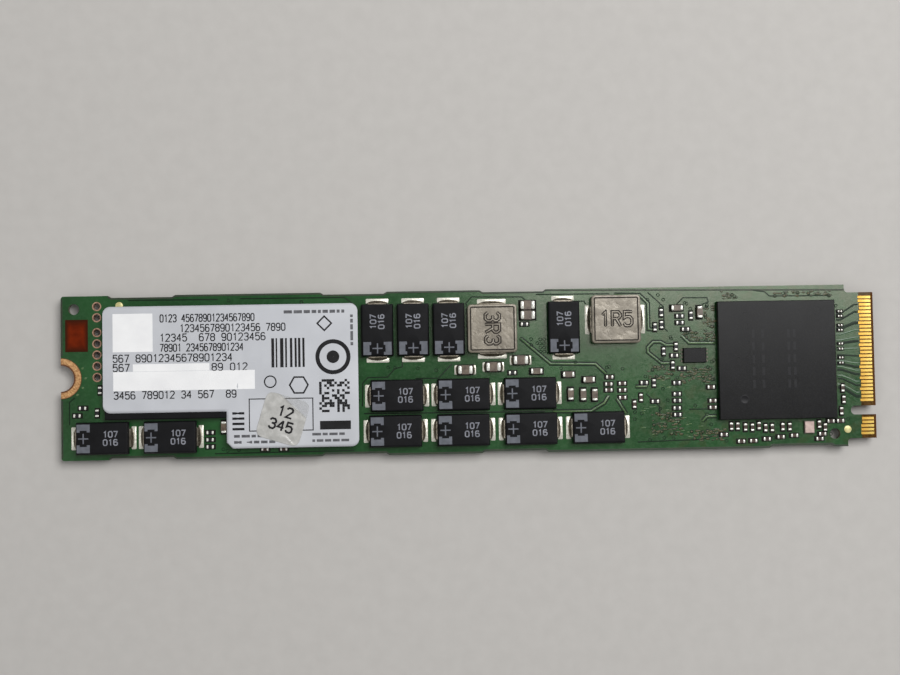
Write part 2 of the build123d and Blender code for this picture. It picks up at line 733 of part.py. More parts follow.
parts["label"], parts["sticker"] = label_and_sticker()
parts["ink_patch"] = block(ink_length, ink_width, land_thickness, screw_edge + ink_inset + ink_length / 2,
                           upper_edge - ink_drop - ink_width / 2, board_top)

os.makedirs("parts", exist_ok=True)
for node, shape in parts.items():
    export_step(shape, f"parts/{node}.step")
print(len(parts), "nodes, board", round(board_length, 3), "x", round(board_width, 3))
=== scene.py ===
# %% [markdown]
# A populated drive card: one green circuit board, 22 mm by 110 mm, with memory under a paper label, rows of
# moulded capacitors, two chokes and a controller beside the gold contacts. The solids arrive as a fixed
# frame. This lesson gives each surface its finish and adds what is too thin or too soft for solids: traces,
# vias, solder, print, paper and film.

# %% Load the frame
import json
import math
import bmesh
import bpy
import numpy as np
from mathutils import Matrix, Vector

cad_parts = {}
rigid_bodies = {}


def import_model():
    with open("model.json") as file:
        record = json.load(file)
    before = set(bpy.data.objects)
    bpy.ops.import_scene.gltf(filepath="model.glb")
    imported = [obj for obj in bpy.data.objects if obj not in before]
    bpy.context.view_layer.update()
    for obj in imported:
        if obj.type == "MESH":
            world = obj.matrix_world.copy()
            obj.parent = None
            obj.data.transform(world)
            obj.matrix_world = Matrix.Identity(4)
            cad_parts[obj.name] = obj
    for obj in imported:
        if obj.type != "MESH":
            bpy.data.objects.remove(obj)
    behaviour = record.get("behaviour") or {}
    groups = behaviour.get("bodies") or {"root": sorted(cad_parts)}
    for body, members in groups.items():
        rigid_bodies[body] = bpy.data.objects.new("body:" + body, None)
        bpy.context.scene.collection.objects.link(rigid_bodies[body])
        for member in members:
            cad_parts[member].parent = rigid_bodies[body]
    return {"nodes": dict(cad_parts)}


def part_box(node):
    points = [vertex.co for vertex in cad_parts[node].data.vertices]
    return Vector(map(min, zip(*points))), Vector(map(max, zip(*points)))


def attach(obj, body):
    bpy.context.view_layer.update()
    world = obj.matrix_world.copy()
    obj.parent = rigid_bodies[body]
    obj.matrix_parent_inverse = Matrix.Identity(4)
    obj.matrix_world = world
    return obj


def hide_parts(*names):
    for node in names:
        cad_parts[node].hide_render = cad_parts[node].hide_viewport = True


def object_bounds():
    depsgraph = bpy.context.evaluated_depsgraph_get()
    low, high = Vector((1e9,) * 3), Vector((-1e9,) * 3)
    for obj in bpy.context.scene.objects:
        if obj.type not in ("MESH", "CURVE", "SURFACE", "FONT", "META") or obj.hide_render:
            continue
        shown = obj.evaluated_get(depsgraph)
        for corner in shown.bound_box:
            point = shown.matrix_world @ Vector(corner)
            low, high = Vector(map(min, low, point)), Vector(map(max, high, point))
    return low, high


for startup_object in list(bpy.data.objects):
    bpy.data.objects.remove(startup_object)
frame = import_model()
cad_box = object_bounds()
MM = 0.001
print("nodes in the frame:", len(frame["nodes"]))

# %% [markdown]
# The places of the parts are read from the frame, so nothing has to be fitted to them. A node's box gives
# its ends. A node that is a group of plain blocks holds its corners in equal runs, one run to a block, so
# one reshape finds them all.

# %% Read places from the frame, in millimetres
BLOCK_CORNERS = 24
FLAT = np.array([1, 1, 0])


def node_box(node):
    """A node's lowest and highest corner."""
    low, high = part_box(node)
    return np.array(low) / MM, np.array(high) / MM


def flat_middle(node):
    """The middle of a node's box, brought down to z = 0."""
    low, high = node_box(node)
    return (low + high) / 2 * FLAT


def corners_of(node):
    """Every corner of a node's mesh."""
    vertices = frame["nodes"][node].data.vertices
    places = np.empty(len(vertices) * 3)
    vertices.foreach_get("co", places)
    return places.reshape(-1, 3) / MM


def blocks_in(node):
    """Centre and half size of each block in a group: the middle and half spread of its run of corners."""
    runs = corners_of(node).reshape(-1, BLOCK_CORNERS, 3)
    low, high = runs.min(axis=1), runs.max(axis=1)
    return (low + high) / 2, (high - low) / 2


board_low, board_high = node_box("circuit_board")
board_top = board_high[2]
part_top = cad_box[1].z / MM
print("board", (board_high - board_low).round(2), "upper face at", board_top.round(2))

# %% [markdown]
# Most pieces below are grids of points: rows along one parameter, columns along the other. One helper
# writes the grid's quads and another puts points and quads into a mesh object that rides on the card.
# Points that fall on each other, as at a pole, are merged there, and closed shapes have their normals
# turned outwards.

# %% From arrays to pieces
MERGE_DISTANCE = 1e-7
CREASE_ANGLE = 40


def grid_faces(rows, columns, wrap=False):
    """Quads of a grid stored row by row; with wrap, the last column joins the first."""
    row, column = np.meshgrid(np.arange(rows - 1), np.arange(columns - (not wrap)), indexing="ij")
    after = (column + 1) % columns
    corners = [row * columns + column, row * columns + after]
    corners += [(row + 1) * columns + after, (row + 1) * columns + column]
    return np.stack(corners, axis=-1).reshape(-1, 4)


def gathered(parts):
    """Joins (points, faces) pairs into one pair: each part's faces count on from the points before it."""
    starts = np.cumsum([0] + [len(points) for points, faces in parts])
    points = np.concatenate([points for points, faces in parts])
    faces = np.concatenate([faces + start for (_, faces), start in zip(parts, starts)])
    return points, faces


def make_piece(name, shape, finish, stands_for=None, crease=CREASE_ANGLE, closed=True):
    """Puts points and faces into a mesh object, smooth up to the crease angle, that rides on the card."""
    points, faces = shape
    mesh = bpy.data.meshes.new(name)
    mesh.from_pydata((points * MM).tolist(), [], faces.tolist())
    work = bmesh.new()
    work.from_mesh(mesh)
    bmesh.ops.remove_doubles(work, verts=work.verts, dist=MERGE_DISTANCE)
    if closed:
        bmesh.ops.recalc_face_normals(work, faces=work.faces)
    work.to_mesh(mesh)
    work.free()
    mesh.validate()
    mesh.polygons.foreach_set("use_smooth", np.ones(len(mesh.polygons), bool))
    mesh.set_sharp_from_angle(angle=math.radians(crease))
    mesh.materials.append(finish)
    piece = bpy.data.objects.new(name, mesh)
    bpy.context.scene.collection.objects.link(piece)
    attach(piece, "root")
    if stands_for:
        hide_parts(*stands_for)
    print(f"{name}: {len(mesh.polygons)} faces")
    return piece


def dress(finish, *nodes):
    """Gives CAD nodes a finish through their material slots."""
    for node in nodes:
        for slot in frame["nodes"][node].material_slots:
            slot.material = finish
    print(f"{finish.name} on {', '.join(nodes)}")


# %% [markdown]
# A finish is a Principled shader whose colour, gloss and fine relief wander. Object coordinates, brought to
# millimetres, drive the noise, because every object sits at the origin and the pattern then stays on the
# piece. Colours are written as they show on a screen and brought to the shader's linear scale.

# %% Nodes and sockets
def ink(red, green, blue):
    """A screen colour of 0 to 255 in the shader's linear scale, by the standard screen curve."""
    screen = np.array([red, green, blue]) / 255
    linear = np.where(screen <= 0.04045, screen / 12.92, ((screen + 0.055) / 1.055) ** 2.4)
    return (*linear.tolist(), 1.0)


def fill(tree, node, sockets):
    """Fills a node's sockets, by name or number: another node's output is linked, a plain value is set."""
    for socket, value in sockets.items():
        if isinstance(value, bpy.types.NodeSocket):
            tree.links.new(value, node.inputs[socket])
        else:
            node.inputs[socket].default_value = value


def add(tree, kind, sockets, **settings):
    """A new node with its settings and sockets."""
    node = tree.nodes.new("ShaderNode" + kind)
    for setting, value in settings.items():
        setattr(node, setting, value)
    fill(tree, node, sockets)
    return node


def new_finish(name):
    """An empty finish: the material, its node tree, its shader and the place on the piece in millimetres."""
    finish = bpy.data.materials.new(name)
    finish.use_nodes = True
    tree = finish.node_tree
    coordinates = add(tree, "TexCoord", {}).outputs["Object"]
    place = add(tree, "Mapping", {"Vector": coordinates, "Scale": (1 / MM,) * 3}).outputs["Vector"]
    return finish, tree, tree.nodes["Principled BSDF"], place


def axes_of(tree, vector):
    """The three parts of a vector."""
    return add(tree, "SeparateXYZ", {0: vector}).outputs


def reckoned(tree, operation, *values):
    """A Math node's answer for one or two values."""
    return add(tree, "Math", dict(enumerate(values)), operation=operation).outputs[0]


def vector_reckoned(tree, operation, *values):
    """A Vector Math node's answer: one number for a distance or a dot product, otherwise a vector."""
    answer = "Value" if operation in ("DISTANCE", "DOT_PRODUCT") else "Vector"
    return add(tree, "VectorMath", dict(enumerate(values)), operation=operation).outputs[answer]


# %% Colours, ranges and relief
NOISE_LOW, NOISE_HIGH = 0.3, 0.7
SPECK_DETAIL = 2.0


def cloud(tree, place, grain, detail=3.0):
    """Noise from 0 to 1 whose blotches are about one grain wide."""
    return add(tree, "TexNoise", {"Vector": place, "Scale": 1 / grain, "Detail": detail}).outputs[0]


def tones(tree, amount, stops):
    """A ramp of colours: each stop is (amount, colour)."""
    ramp = add(tree, "ValToRGB", {0: amount})
    elements = ramp.color_ramp.elements
    while len(elements) < len(stops):
        elements.new(0.5)
    for element, (position, colour) in zip(elements, stops):
        element.position = position
        element.color = colour
    return ramp.outputs[0]


def mixed(tree, amount, first, second):
    """The first colour where the amount is 0 and the second where it is 1."""
    return add(tree, "Mix", {0: amount, 6: first, 7: second}, data_type="RGBA").outputs[2]


def ranged(tree, value, low, high, start=0.0, end=1.0):
    """A value's run from low to high carried over to start and end, smoothly and no further."""
    sockets = {0: value, 1: low, 2: high, 3: start, 4: end}
    return add(tree, "MapRange", sockets, interpolation_type="SMOOTHSTEP").outputs[0]


def two_tones(tree, noise, dark, pale):
    """A screen colour that wanders between two with the noise."""
    return tones(tree, noise, [(NOISE_LOW, ink(*dark)), (NOISE_HIGH, ink(*pale))])


def wandering(tree, noise, low, high):
    """A value that wanders between two with the noise."""
    return ranged(tree, noise, NOISE_LOW, NOISE_HIGH, low, high)


def relief(tree, shader, height, depth):
    """Fine relief: a height of 0 to 1 stands for a depth in millimetres."""
    bump = add(tree, "Bump", {"Height": height, "Distance": depth * MM})
    fill(tree, shader, {"Normal": bump.outputs[0]})


def mottled(name, dark, pale, grain, gloss, metal=0.0, shine=0.5, depth=0.004, fine=0.12):
    """A finish between two screen colours: blotches of one grain for tone, specks for gloss and relief."""
    finish, tree, shader, place = new_finish(name)
    specks = cloud(tree, place, fine, SPECK_DETAIL)
    fill(tree, shader, {"Base Color": two_tones(tree, cloud(tree, place, grain), dark, pale),
                        "Roughness": wandering(tree, specks, *gloss),
                        "Metallic": metal, "Specular IOR Level": shine})
    relief(tree, shader, specks, depth)
    return finish


# %% [markdown]
# The board is glass laminate under a green mask. Over copper the mask looks paler, and the pour wanders in
# tone. The contact tongue has no mask, so brown laminate shows between the contacts, and the sawn edges
# show the layers. All of it is one node, so one material sorts the faces by place along the card and by the
# way they face.

# %% Solder mask and bare laminate
MASK_LAP, MASK_FADE = 0.1, 0.05
MASK_SHINE, BARE_SHINE = 0.45, 0.12
MASK_TINT = (0.98, 0.97, 0.84, 1.0)
WEAVE_GRAIN, WEAVE_DETAIL, WEAVE_DEPTH = 0.35, 5.0, 0.003
POUR_GRAIN, PATCH_GRAIN, LAYER_GRAIN = 7.0, 1.8, 1.0
BUSY_FROM, BUSY_TO = 20.0, 26.0
LAYER_STRETCH = (0.6, 0.6, 14.0)
THREAD_RANGE, PATCH_RANGE = (0.4, 0.75, 0.0, 0.2), (0.5, 0.62, 0.0, 0.45)
LEVEL_RANGE = (0.9, 0.95)
contact_low, contact_high = node_box("edge_contacts_top")
mask_end = contact_low[0] + MASK_LAP


def levelness(tree):
    """How level a face lies: the size of its true normal's Z, 1 on a level face and 0 on a wall."""
    normal = add(tree, "NewGeometry", {}).outputs["True Normal"]
    return reckoned(tree, "ABSOLUTE", axes_of(tree, normal)[2])


solder_mask, tree, shader, place = new_finish("solder_mask")
along_card = axes_of(tree, place)[0]
weave = cloud(tree, place, WEAVE_GRAIN, WEAVE_DETAIL)
greens = [(0.3, ink(18, 60, 26)), (0.5, ink(25, 70, 33)), (0.7, ink(34, 82, 41))]
pour = tones(tree, cloud(tree, place, POUR_GRAIN), greens)
pour = mixed(tree, ranged(tree, weave, *THREAD_RANGE), pour, ink(46, 96, 56))
patches = ranged(tree, cloud(tree, place, PATCH_GRAIN), *PATCH_RANGE)
patches = reckoned(tree, "MULTIPLY", patches, ranged(tree, along_card, BUSY_FROM, BUSY_TO))
pour = mixed(tree, patches, pour, ink(50, 66, 32))
bare = tones(tree, weave, [(0.35, ink(58, 38, 13)), (0.65, ink(92, 64, 26))])
layers = cloud(tree, add(tree, "Mapping", {"Vector": place, "Scale": LAYER_STRETCH}).outputs[0], LAYER_GRAIN)
sawn = tones(tree, layers, [(0.35, ink(46, 44, 24)), (0.65, ink(108, 98, 58))])
tongue = ranged(tree, along_card, mask_end - MASK_FADE, mask_end + MASK_FADE)
sawn = mixed(tree, tongue, sawn, ink(84, 54, 26))
face = mixed(tree, tongue, pour, bare)
fill(tree, shader, {"Base Color": mixed(tree, ranged(tree, levelness(tree), *LEVEL_RANGE), sawn, face),
                    "Roughness": wandering(tree, weave, 0.15, 0.22),
                    "Specular IOR Level": ranged(tree, tongue, 0.0, 1.0, MASK_SHINE, BARE_SHINE),
                    "Specular Tint": MASK_TINT})
relief(tree, shader, weave, WEAVE_DEPTH)
dress(solder_mask, "circuit_board")
print("mask ends at x =", mask_end.round(2))

# %% [markdown]
# Copper under the mask shows as low ridges, and the gaps between two pours as darker lines. Each is a
# narrow profile carried along a path: at every path point a low arch stands square to the path, and corners
# are mitred. A trace between two gaps is a broad dark strip with a pale ridge along its middle.

# %% A low arch along a path
MITRE_LIMIT = 0.5
TIP_SHARE = 0.2
ARCH_POINTS = 5


def stroke(path, width, height, low):
    """A low arch carried along a path: height = (1 - across^4) * height; an open path ends in two points."""
    path = np.array(path, float)
    run = np.diff(path, axis=0)
    run = run / np.linalg.norm(run, axis=1, keepdims=True)
    closed = np.allclose(path[0], path[-1])
    before = np.concatenate([run[-1:] if closed else run[:1], run])
    after = np.concatenate([run, run[:1] if closed else run[-1:]])
    along = before + after
    along = along / np.linalg.norm(along, axis=1, keepdims=True)
    mitre = np.maximum((along * after).sum(1, keepdims=True), MITRE_LIMIT)
    square = np.stack([-along[:, 1], along[:, 0]], axis=1) / mitre
    across = np.linspace(1, -1, ARCH_POINTS)
    flat = path[:, None] + square[:, None] * across[:, None] * width / 2
    lift = np.broadcast_to(low + (1 - across ** 4) * height, flat.shape[:2])
    points = np.concatenate([flat, lift[..., None]], axis=-1)
    tips = path[[0, -1]] + np.stack([-run[0], run[-1]]) * width * TIP_SHARE
    tips = np.column_stack([tips, [low, low]])[:, None].repeat(len(across), axis=1)
    points = points if closed else np.concatenate([tips[:1], points, tips[1:]])
    return points.reshape(-1, 3), grid_faces(len(points), len(across), wrap=True)


def board_strokes(paths, width, height):
    """One shape of the strokes along several paths on the board's upper face."""
    return gathered([stroke(path, width, height, board_top) for path in paths])


# %% Pour gaps and traces
GAP_WIDTH, GAP_HEIGHT = 0.17, 0.004
CHANNEL_WIDTH, CHANNEL_HEIGHT = 0.62, 0.003
TRACE_WIDTH, TRACE_HEIGHT = 0.24, 0.009
OVER_COPPER = {"grain": 1.2, "gloss": (0.18, 0.26), "shine": MASK_SHINE, "depth": 0.001}
feed_path = [(6.7, 4.4), (10.7, 0.9), (16.8, 0.75), (18.2, -0.6)]
power_loop = [(26.8, 0.7), (25.8, 0.7), (23.95, 2.25), (23.95, 2.9), (24.7, 3.6), (25.7, 3.6), (26.5, 3.15),
              (27.9, 3.15)]
coil_path = [(10.9, -5.55), (16.05, -5.6), (17.9, -4.5), (18.45, -3.6)]
north_path = [(19.6, 10.1), (23.0, 10.0), (24.1, 8.9), (24.1, 5.35), (25.0, 5.25)]
channel_paths = [feed_path, power_loop, coil_path, north_path,
                 [(28.6, 4.4), (29.6, 3.4), (33.1, 3.35)], [(19.6, -4.0), (20.8, -6.0)],
                 [(33.1, -6.6), (31.8, -6.6), (31.2, -7.2)], [(22.2, -2.4), (23.7, -2.4)]]
gap_paths = [
    [(-0.6, 8.8), (-0.6, 9.3), (0.15, 10.1), (7.0, 10.0), (7.7, 9.3)],
    [(24.1, 10.35), (26.2, 8.4), (26.3, 5.4), (26.7, 5.0)],
    [(-9.35, 1.7), (-9.35, 0.8), (-10.35, 0.6), (-11.4, -0.55), (-14.0, -0.55), (-14.7, -1.3), (-14.8, -4.4)],
    [(-2.65, 1.1), (-4.5, -0.8), (-7.6, -0.8)],
    [(28.0, 8.65), (28.9, 9.55), (32.2, 9.5), (32.35, 8.9), (31.5, 8.6)],
    [(38.6, 10.4), (40.1, 10.2), (40.75, 9.6), (49.0, 9.55)],
    [(-14.6, -5.4), (-5.6, -5.45), (9.8, -5.55)],
    [(-53.9, -6.2), (-53.9, -3.2), (-53.2, -2.6)],
    [(8.9, 10.3), (18.9, 10.25)], [(13.9, 9.3), (15.4, 9.3), (15.6, 8.9)],
    [(-31.0, 10.35), (-17.0, 10.3), (-15.6, 9.2)], [(-46.0, 10.35), (-34.0, 10.3)],
    [(22.3, -9.9), (31.0, -9.7), (33.4, -9.0)], [(-34.6, -10.4), (-16.0, -10.3)],
    [(23.6, -3.4), (25.4, -5.2), (25.4, -6.6)], [(29.4, -5.6), (32.8, -5.6)],
]
mask_gap = mottled("mask_gap", (8, 30, 14), (20, 42, 22), 2.0, (0.3, 0.4), shine=0.15)
pale_mask = mottled("pale_mask", (56, 92, 50), (92, 116, 70), **OVER_COPPER)
gaps = gathered([board_strokes(gap_paths, GAP_WIDTH, GAP_HEIGHT),
                 board_strokes(channel_paths, CHANNEL_WIDTH, CHANNEL_HEIGHT)])
make_piece("pour_gaps", gaps, mask_gap)
make_piece("pale_traces", board_strokes(channel_paths, TRACE_WIDTH, TRACE_HEIGHT), pale_mask)

# %% [markdown]
# Along the sawn edges a dark line is painted on the mask as shade. Its path is the board's own outline:
# the corners of the upper face near each long edge, put in order along the card and moved in a little.

# %% Painted shade along the edges
EDGE_INSET, EDGE_WIDTH, EDGE_BAND = 0.14, 0.2, 0.6
END_CLEAR, NOTCH_CLEAR = 0.4, 3.0
LEVEL_SLACK, SAME_PLACE = 0.01, 0.02
face_corners = corners_of("circuit_board")
face_corners = face_corners[face_corners[:, 2] > board_top - LEVEL_SLACK, :2]
end_x = board_low[0] + EDGE_INSET
edge_paths = []
for side, edge in ((1, board_high[1]), (-1, -board_low[1])):
    near = face_corners[:, 1] * side > edge - EDGE_BAND
    line = np.unique(face_corners[near].round(3), axis=0)
    apart = np.concatenate([[True], np.diff(line[:, 0]) > SAME_PLACE])
    line = line[apart & (line[:, 0] > board_low[0] + END_CLEAR)]
    edge_paths.append(line - [0, side * EDGE_INSET])
    edge_paths.append([(end_x, side * NOTCH_CLEAR), (end_x, side * (edge - END_CLEAR))])
# Painted shade: a dark line along each edge of the mask.
painted_edge_shade = mottled("painted_edge_shade", (18, 30, 16), (40, 48, 26), 1.5, (0.45, 0.6))
make_piece("edge_shade_lines", board_strokes(edge_paths, EDGE_WIDTH, GAP_HEIGHT), painted_edge_shade)

# %% [markdown]
# Short signal traces fan from the contacts towards the controller. They are made from the contacts' own
# places, so a loop over the contacts gives the ladder that shows beside the tongue.

# %% Signal traces beside the contacts
LADDER_LAP, LADDER_CLEAR = 0.02, 0.45
START_RUN, END_RUN = 0.5, 0.6
DRAW_IN, AIM_SHIFT = 0.8, 0.4
SIGNAL_WIDTH = 0.2
BAND_WIDTHS, BAND_SEED = (0.2, 0.5), 3
LINE_CONTACTS = [9, 11, 14, 18, 20, 23, 26]
BAND_CONTACTS = [2, 4, 7, 12, 16, 19, 21, 24, 27]
contact_centres, contact_halves = blocks_in("edge_contacts_top")
controller_low, controller_high = node_box("controller_mold")
ladder_start = contact_low[0] - LADDER_LAP
ladder_end = controller_high[0] + LADDER_CLEAR


def ladder(contacts):
    """Paths from these contacts towards the controller, drawn in a little to the middle."""
    places = contact_centres[contacts, 1]
    aims = DRAW_IN * places + AIM_SHIFT
    return [[(ladder_start, y), (ladder_start - START_RUN, y), (ladder_end + END_RUN, aim), (ladder_end, aim)]
            for y, aim in zip(places, aims)]


signal_green = mottled("signal_green", (30, 72, 37), (50, 88, 48), **OVER_COPPER)
signals = board_strokes(ladder(LINE_CONTACTS), SIGNAL_WIDTH, TRACE_HEIGHT)
make_piece("signal_traces", signals, signal_green)
band_widths = np.random.default_rng(BAND_SEED).uniform(*BAND_WIDTHS, len(BAND_CONTACTS))
grounds = [stroke(path, width, GAP_HEIGHT, board_top)
           for path, width in zip(ladder(BAND_CONTACTS), band_widths)]
make_piece("ground_traces", gathered(grounds), mask_gap)

# %% [markdown]
# Vias are plated holes that the mask fills; each shows as a thin dark ring. Where the pour is open, olive
# windows with dark rims show. Both stand wherever the card is free, so a seeded draw offers places and
# those under or beside a part are dropped, all with arrays.

# %% Free places on the card
BLOCK_GROUPS = ["small_chip_ends", "ceramic_capacitor_ends", "edge_contacts_top", "small_resistor_bodies",
                "small_capacitor_bodies", "ceramic_capacitor_bodies"]
SINGLE_PARTS = ["controller_mold", "nand_a_mold", "nand_b_mold", "power_chip_body", "crystal_base"]
CHOKES = ["choke_a", "choke_b"]
CAPACITOR_COUNT = 13
LEAD_ROOM = 0.8 * np.array([-1, -1, 0, 1, 1, 0])
capacitor_names = [f"capacitor_{index + 1}" for index in range(CAPACITOR_COUNT)]
leaded_parts = capacitor_names + [name + "_core" for name in CHOKES]
single_boxes = [np.concatenate(node_box(name))[None] for name in SINGLE_PARTS]
leaded_boxes = [np.concatenate(node_box(name))[None] + LEAD_ROOM for name in leaded_parts]
group_boxes = [np.concatenate([centre - half, centre + half], axis=1)
               for centre, half in map(blocks_in, BLOCK_GROUPS)]
taken = np.concatenate(single_boxes + leaded_boxes + group_boxes)
print("places taken on the card:", len(taken))


def free_places(offered, margin):
    """The offered places that lie clear of every part by a margin."""
    beside_x = (offered[:, None, 0] > taken[:, 0] - margin) & (offered[:, None, 0] < taken[:, 3] + margin)
    beside_y = (offered[:, None, 1] > taken[:, 1] - margin) & (offered[:, None, 1] < taken[:, 4] + margin)
    return offered[~(beside_x & beside_y).any(axis=1)]


def on_board(places):
    """Places on the card's upper face."""
    return np.column_stack([places, np.full(len(places), board_top)])


# %% [markdown]
# A shape that repeats is worked out once and stamped: its points are stretched, turned and moved for all
# places in one product of arrays. Round things are profiles turned about an axis.

# %% Copies and turned profiles
def stamped(shape, centres, turns=0.0, sizes=1.0):
    """Copies of a shape: point = turn about Z of (shape * size) + centre, for all copies at once."""
    points, faces = shape
    centres = np.asarray(centres, float)
    turns = np.broadcast_to(turns, len(centres))
    sizes = np.broadcast_to(sizes, (len(centres), 3))
    stretched = points[None] * sizes[:, None]
    cosine, sine = np.cos(turns)[:, None], np.sin(turns)[:, None]
    x = stretched[..., 0] * cosine - stretched[..., 1] * sine
    y = stretched[..., 0] * sine + stretched[..., 1] * cosine
    copies = np.stack([x, y, stretched[..., 2]], axis=-1) + centres[:, None]
    offsets = np.arange(len(centres)) * len(points)
    return copies.reshape(-1, 3), (faces[None] + offsets[:, None, None]).reshape(-1, faces.shape[1])


def turned(profile, sides):
    """A profile of (radius, height) turned about Z: x = r cos a, y = r sin a, z = height."""
    profile = np.array(profile, float)
    angle = np.arange(sides) * 2 * math.pi / sides
    x = profile[:, :1] * np.cos(angle)
    y = profile[:, :1] * np.sin(angle)
    z = np.repeat(profile[:, 1:], sides, axis=1)
    points = np.stack([x, y, z], axis=-1).reshape(-1, 3)
    return points, grid_faces(len(profile), sides, wrap=True)


# %% Via rings
VIA_SEED, OFFERED_VIAS, VIA_MARGIN = 11, 420, 0.35
VIA_START, VIA_END, VIA_EDGE = -48.5, 51.2, 0.8
VIA_PROFILE = [(0.15, 0.0), (0.25, 0.0), (0.23, 0.012), (0.17, 0.012), (0.15, 0.0)]
VIA_SIDES = 12
STITCH_FIRST, STITCH_STEP, STITCH_COUNT = np.array([9.35, 4.2]), np.array([0.52, 0.55]), 8
FIELD_DENSITY, FIELD_MARGIN, WINDOWS_PER_VIA = 6.0, 0.12, 7
open_fields = [(24.0, -1.6, 27.6, 0.3), (28.3, -2.0, 32.8, 0.1), (24.3, -9.0, 28.5, -5.9),
               (28.7, 3.6, 33.1, 5.2), (34.1, 9.3, 36.2, 10.4), (40.8, 9.5, 49.2, 10.2),
               (31.6, 5.4, 33.2, 8.4), (11.2, -5.3, 16.0, -5.0), (29.5, -9.9, 34.5, -8.3)]
via_draw = np.random.default_rng(VIA_SEED)


def drawn_in(field):
    """Places drawn in a field of (left, bottom, right, top), as many as its area asks for."""
    low, high = np.array(field[:2]), np.array(field[2:])
    return via_draw.uniform(low, high, (int(np.prod(high - low) * FIELD_DENSITY), 2))


offered = via_draw.uniform((VIA_START, board_low[1] + VIA_EDGE), (VIA_END, board_high[1] - VIA_EDGE),
                           (OFFERED_VIAS, 2))
window_places = free_places(np.concatenate([drawn_in(field) for field in open_fields]), FIELD_MARGIN)
index = np.arange(STITCH_COUNT)
stitched = STITCH_FIRST + STITCH_STEP * np.column_stack([index % 2, -(index // 2)])
via_places = np.concatenate([stitched, free_places(offered, VIA_MARGIN), window_places[::WINDOWS_PER_VIA]])
via_rings = stamped(turned(VIA_PROFILE, VIA_SIDES), on_board(via_places))
make_piece("via_rings", via_rings, mask_gap)

# %% Open windows in the pour
RIM_GROWTH, RIM_HEIGHT_SHARE = [0.04, 0.04, 0], [1, 1, 0.5]
WINDOW_SMALLEST, WINDOW_LARGEST = (0.1, 0.05, 0.003), (0.4, 0.17, 0.004)
DAB_PROFILE, DAB_SIDES = [(0.0, 0.0), (1.0, 0.0), (0.85, 1.0), (0.0, 1.0)], 9


def dabs(places, sizes):
    """Low nine-sided dabs on the board: each size is (half length, half width, height)."""
    return stamped(turned(DAB_PROFILE, DAB_SIDES), on_board(places), 0.0, sizes)


window_sizes = via_draw.uniform(WINDOW_SMALLEST, WINDOW_LARGEST, (len(window_places), 3))
window_olive = mottled("window_olive", (36, 56, 26), (88, 80, 44), 0.6, (0.22, 0.34), shine=0.3)
make_piece("open_pour", dabs(window_places, window_sizes), window_olive)
rim_sizes = (window_sizes + RIM_GROWTH) * RIM_HEIGHT_SHARE
make_piece("open_pour_rims", dabs(window_places, rim_sizes), mask_gap)

# %% Ticks in the mask and dots at the screw
TICK_COUNT, TICK_MARGIN = 14, 0.4
TICK_SMALLEST, TICK_LARGEST = (0.2, 0.045, 0.01), (0.45, 0.06, 0.012)
DOT_SIZE = (0.16, 0.16, 0.01)
tick_fields = np.array([(23.0, -9.2, 27.5, -4.0), (27.5, -9.6, 33.0, -6.2), (24.0, -3.0, 28.0, -1.0)])
offered = via_draw.uniform(tick_fields[:, None, :2], tick_fields[:, None, 2:],
                           (len(tick_fields), TICK_COUNT, 2))
tick_places = free_places(offered.reshape(-1, 2), TICK_MARGIN)
tick_sizes = via_draw.uniform(TICK_SMALLEST, TICK_LARGEST, (len(tick_places), 3))
make_piece("mask_ticks", dabs(tick_places, tick_sizes), pale_mask)
screw_dots = [(-52.14, 1.33), (-51.74, 0.0), (-52.12, -1.28), (-52.83, -2.21)]
make_piece("screw_vias", dabs(screw_dots, DOT_SIZE), pale_mask)

# %% [markdown]
# Plated metal: hard gold on the contacts, copper with a thin gold flash round the screw notch and the
# eyelets. Plating is never even: two warm tones wander over each contact. A painted reflection brightens
# each contact towards its outer end, and painted shade darkens it along both sides. The distance from a
# contact's middle repeats with the pitch, and a ping-pong node gives it.

# %% Gold plating
GOLD_GRAIN, GOLD_RANGE = 1.4, (0.3, 0.8, 0.0, 0.3)
SIDE_SHADE_FROM, SIDE_SHADE_PAST_EDGE = 0.11, 0.03
contact_gold, tree, shader, place = new_finish("contact_gold")
axes = axes_of(tree, place)
# Painted reflection: each contact is brighter towards its outer end.
sheen_share = ranged(tree, axes[0], contact_low[0], contact_high[0])
painted_sheen_tone = mixed(tree, sheen_share, ink(166, 131, 54), ink(188, 162, 86))
grain = cloud(tree, place, GOLD_GRAIN, 0.0)
plated = mixed(tree, ranged(tree, grain, *GOLD_RANGE), painted_sheen_tone, ink(174, 130, 52))
contact_pitch = abs(contact_centres[1, 1] - contact_centres[0, 1])
from_first = reckoned(tree, "SUBTRACT", axes[1], contact_centres[0, 1])
from_middle = reckoned(tree, "PINGPONG", from_first, contact_pitch / 2)
# Painted shade: each contact darkens along both sides.
side_shade = ranged(tree, from_middle, SIDE_SHADE_FROM, contact_halves[0, 1] + SIDE_SHADE_PAST_EDGE)
fill(tree, shader, {"Base Color": mixed(tree, side_shade, plated, ink(154, 106, 40)),
                    "Roughness": wandering(tree, grain, 0.3, 0.36), "Metallic": 0.8})
dress(contact_gold, "edge_contacts_top", "edge_contacts_bottom")

# %% Copper land at the screw notch
COPPER_GRAIN, COPPER_DEPTH = 0.22, 0.008
INNER_EDGE, OUTER_EDGE = (1.86, 2.04), (2.6, 2.74)
land_copper, tree, shader, place = new_finish("land_copper")
grain = cloud(tree, place, COPPER_GRAIN)
copper = two_tones(tree, grain, (156, 104, 58), (224, 180, 126))
from_notch = vector_reckoned(tree, "DISTANCE", place, (board_low[0], 0.0, board_top))
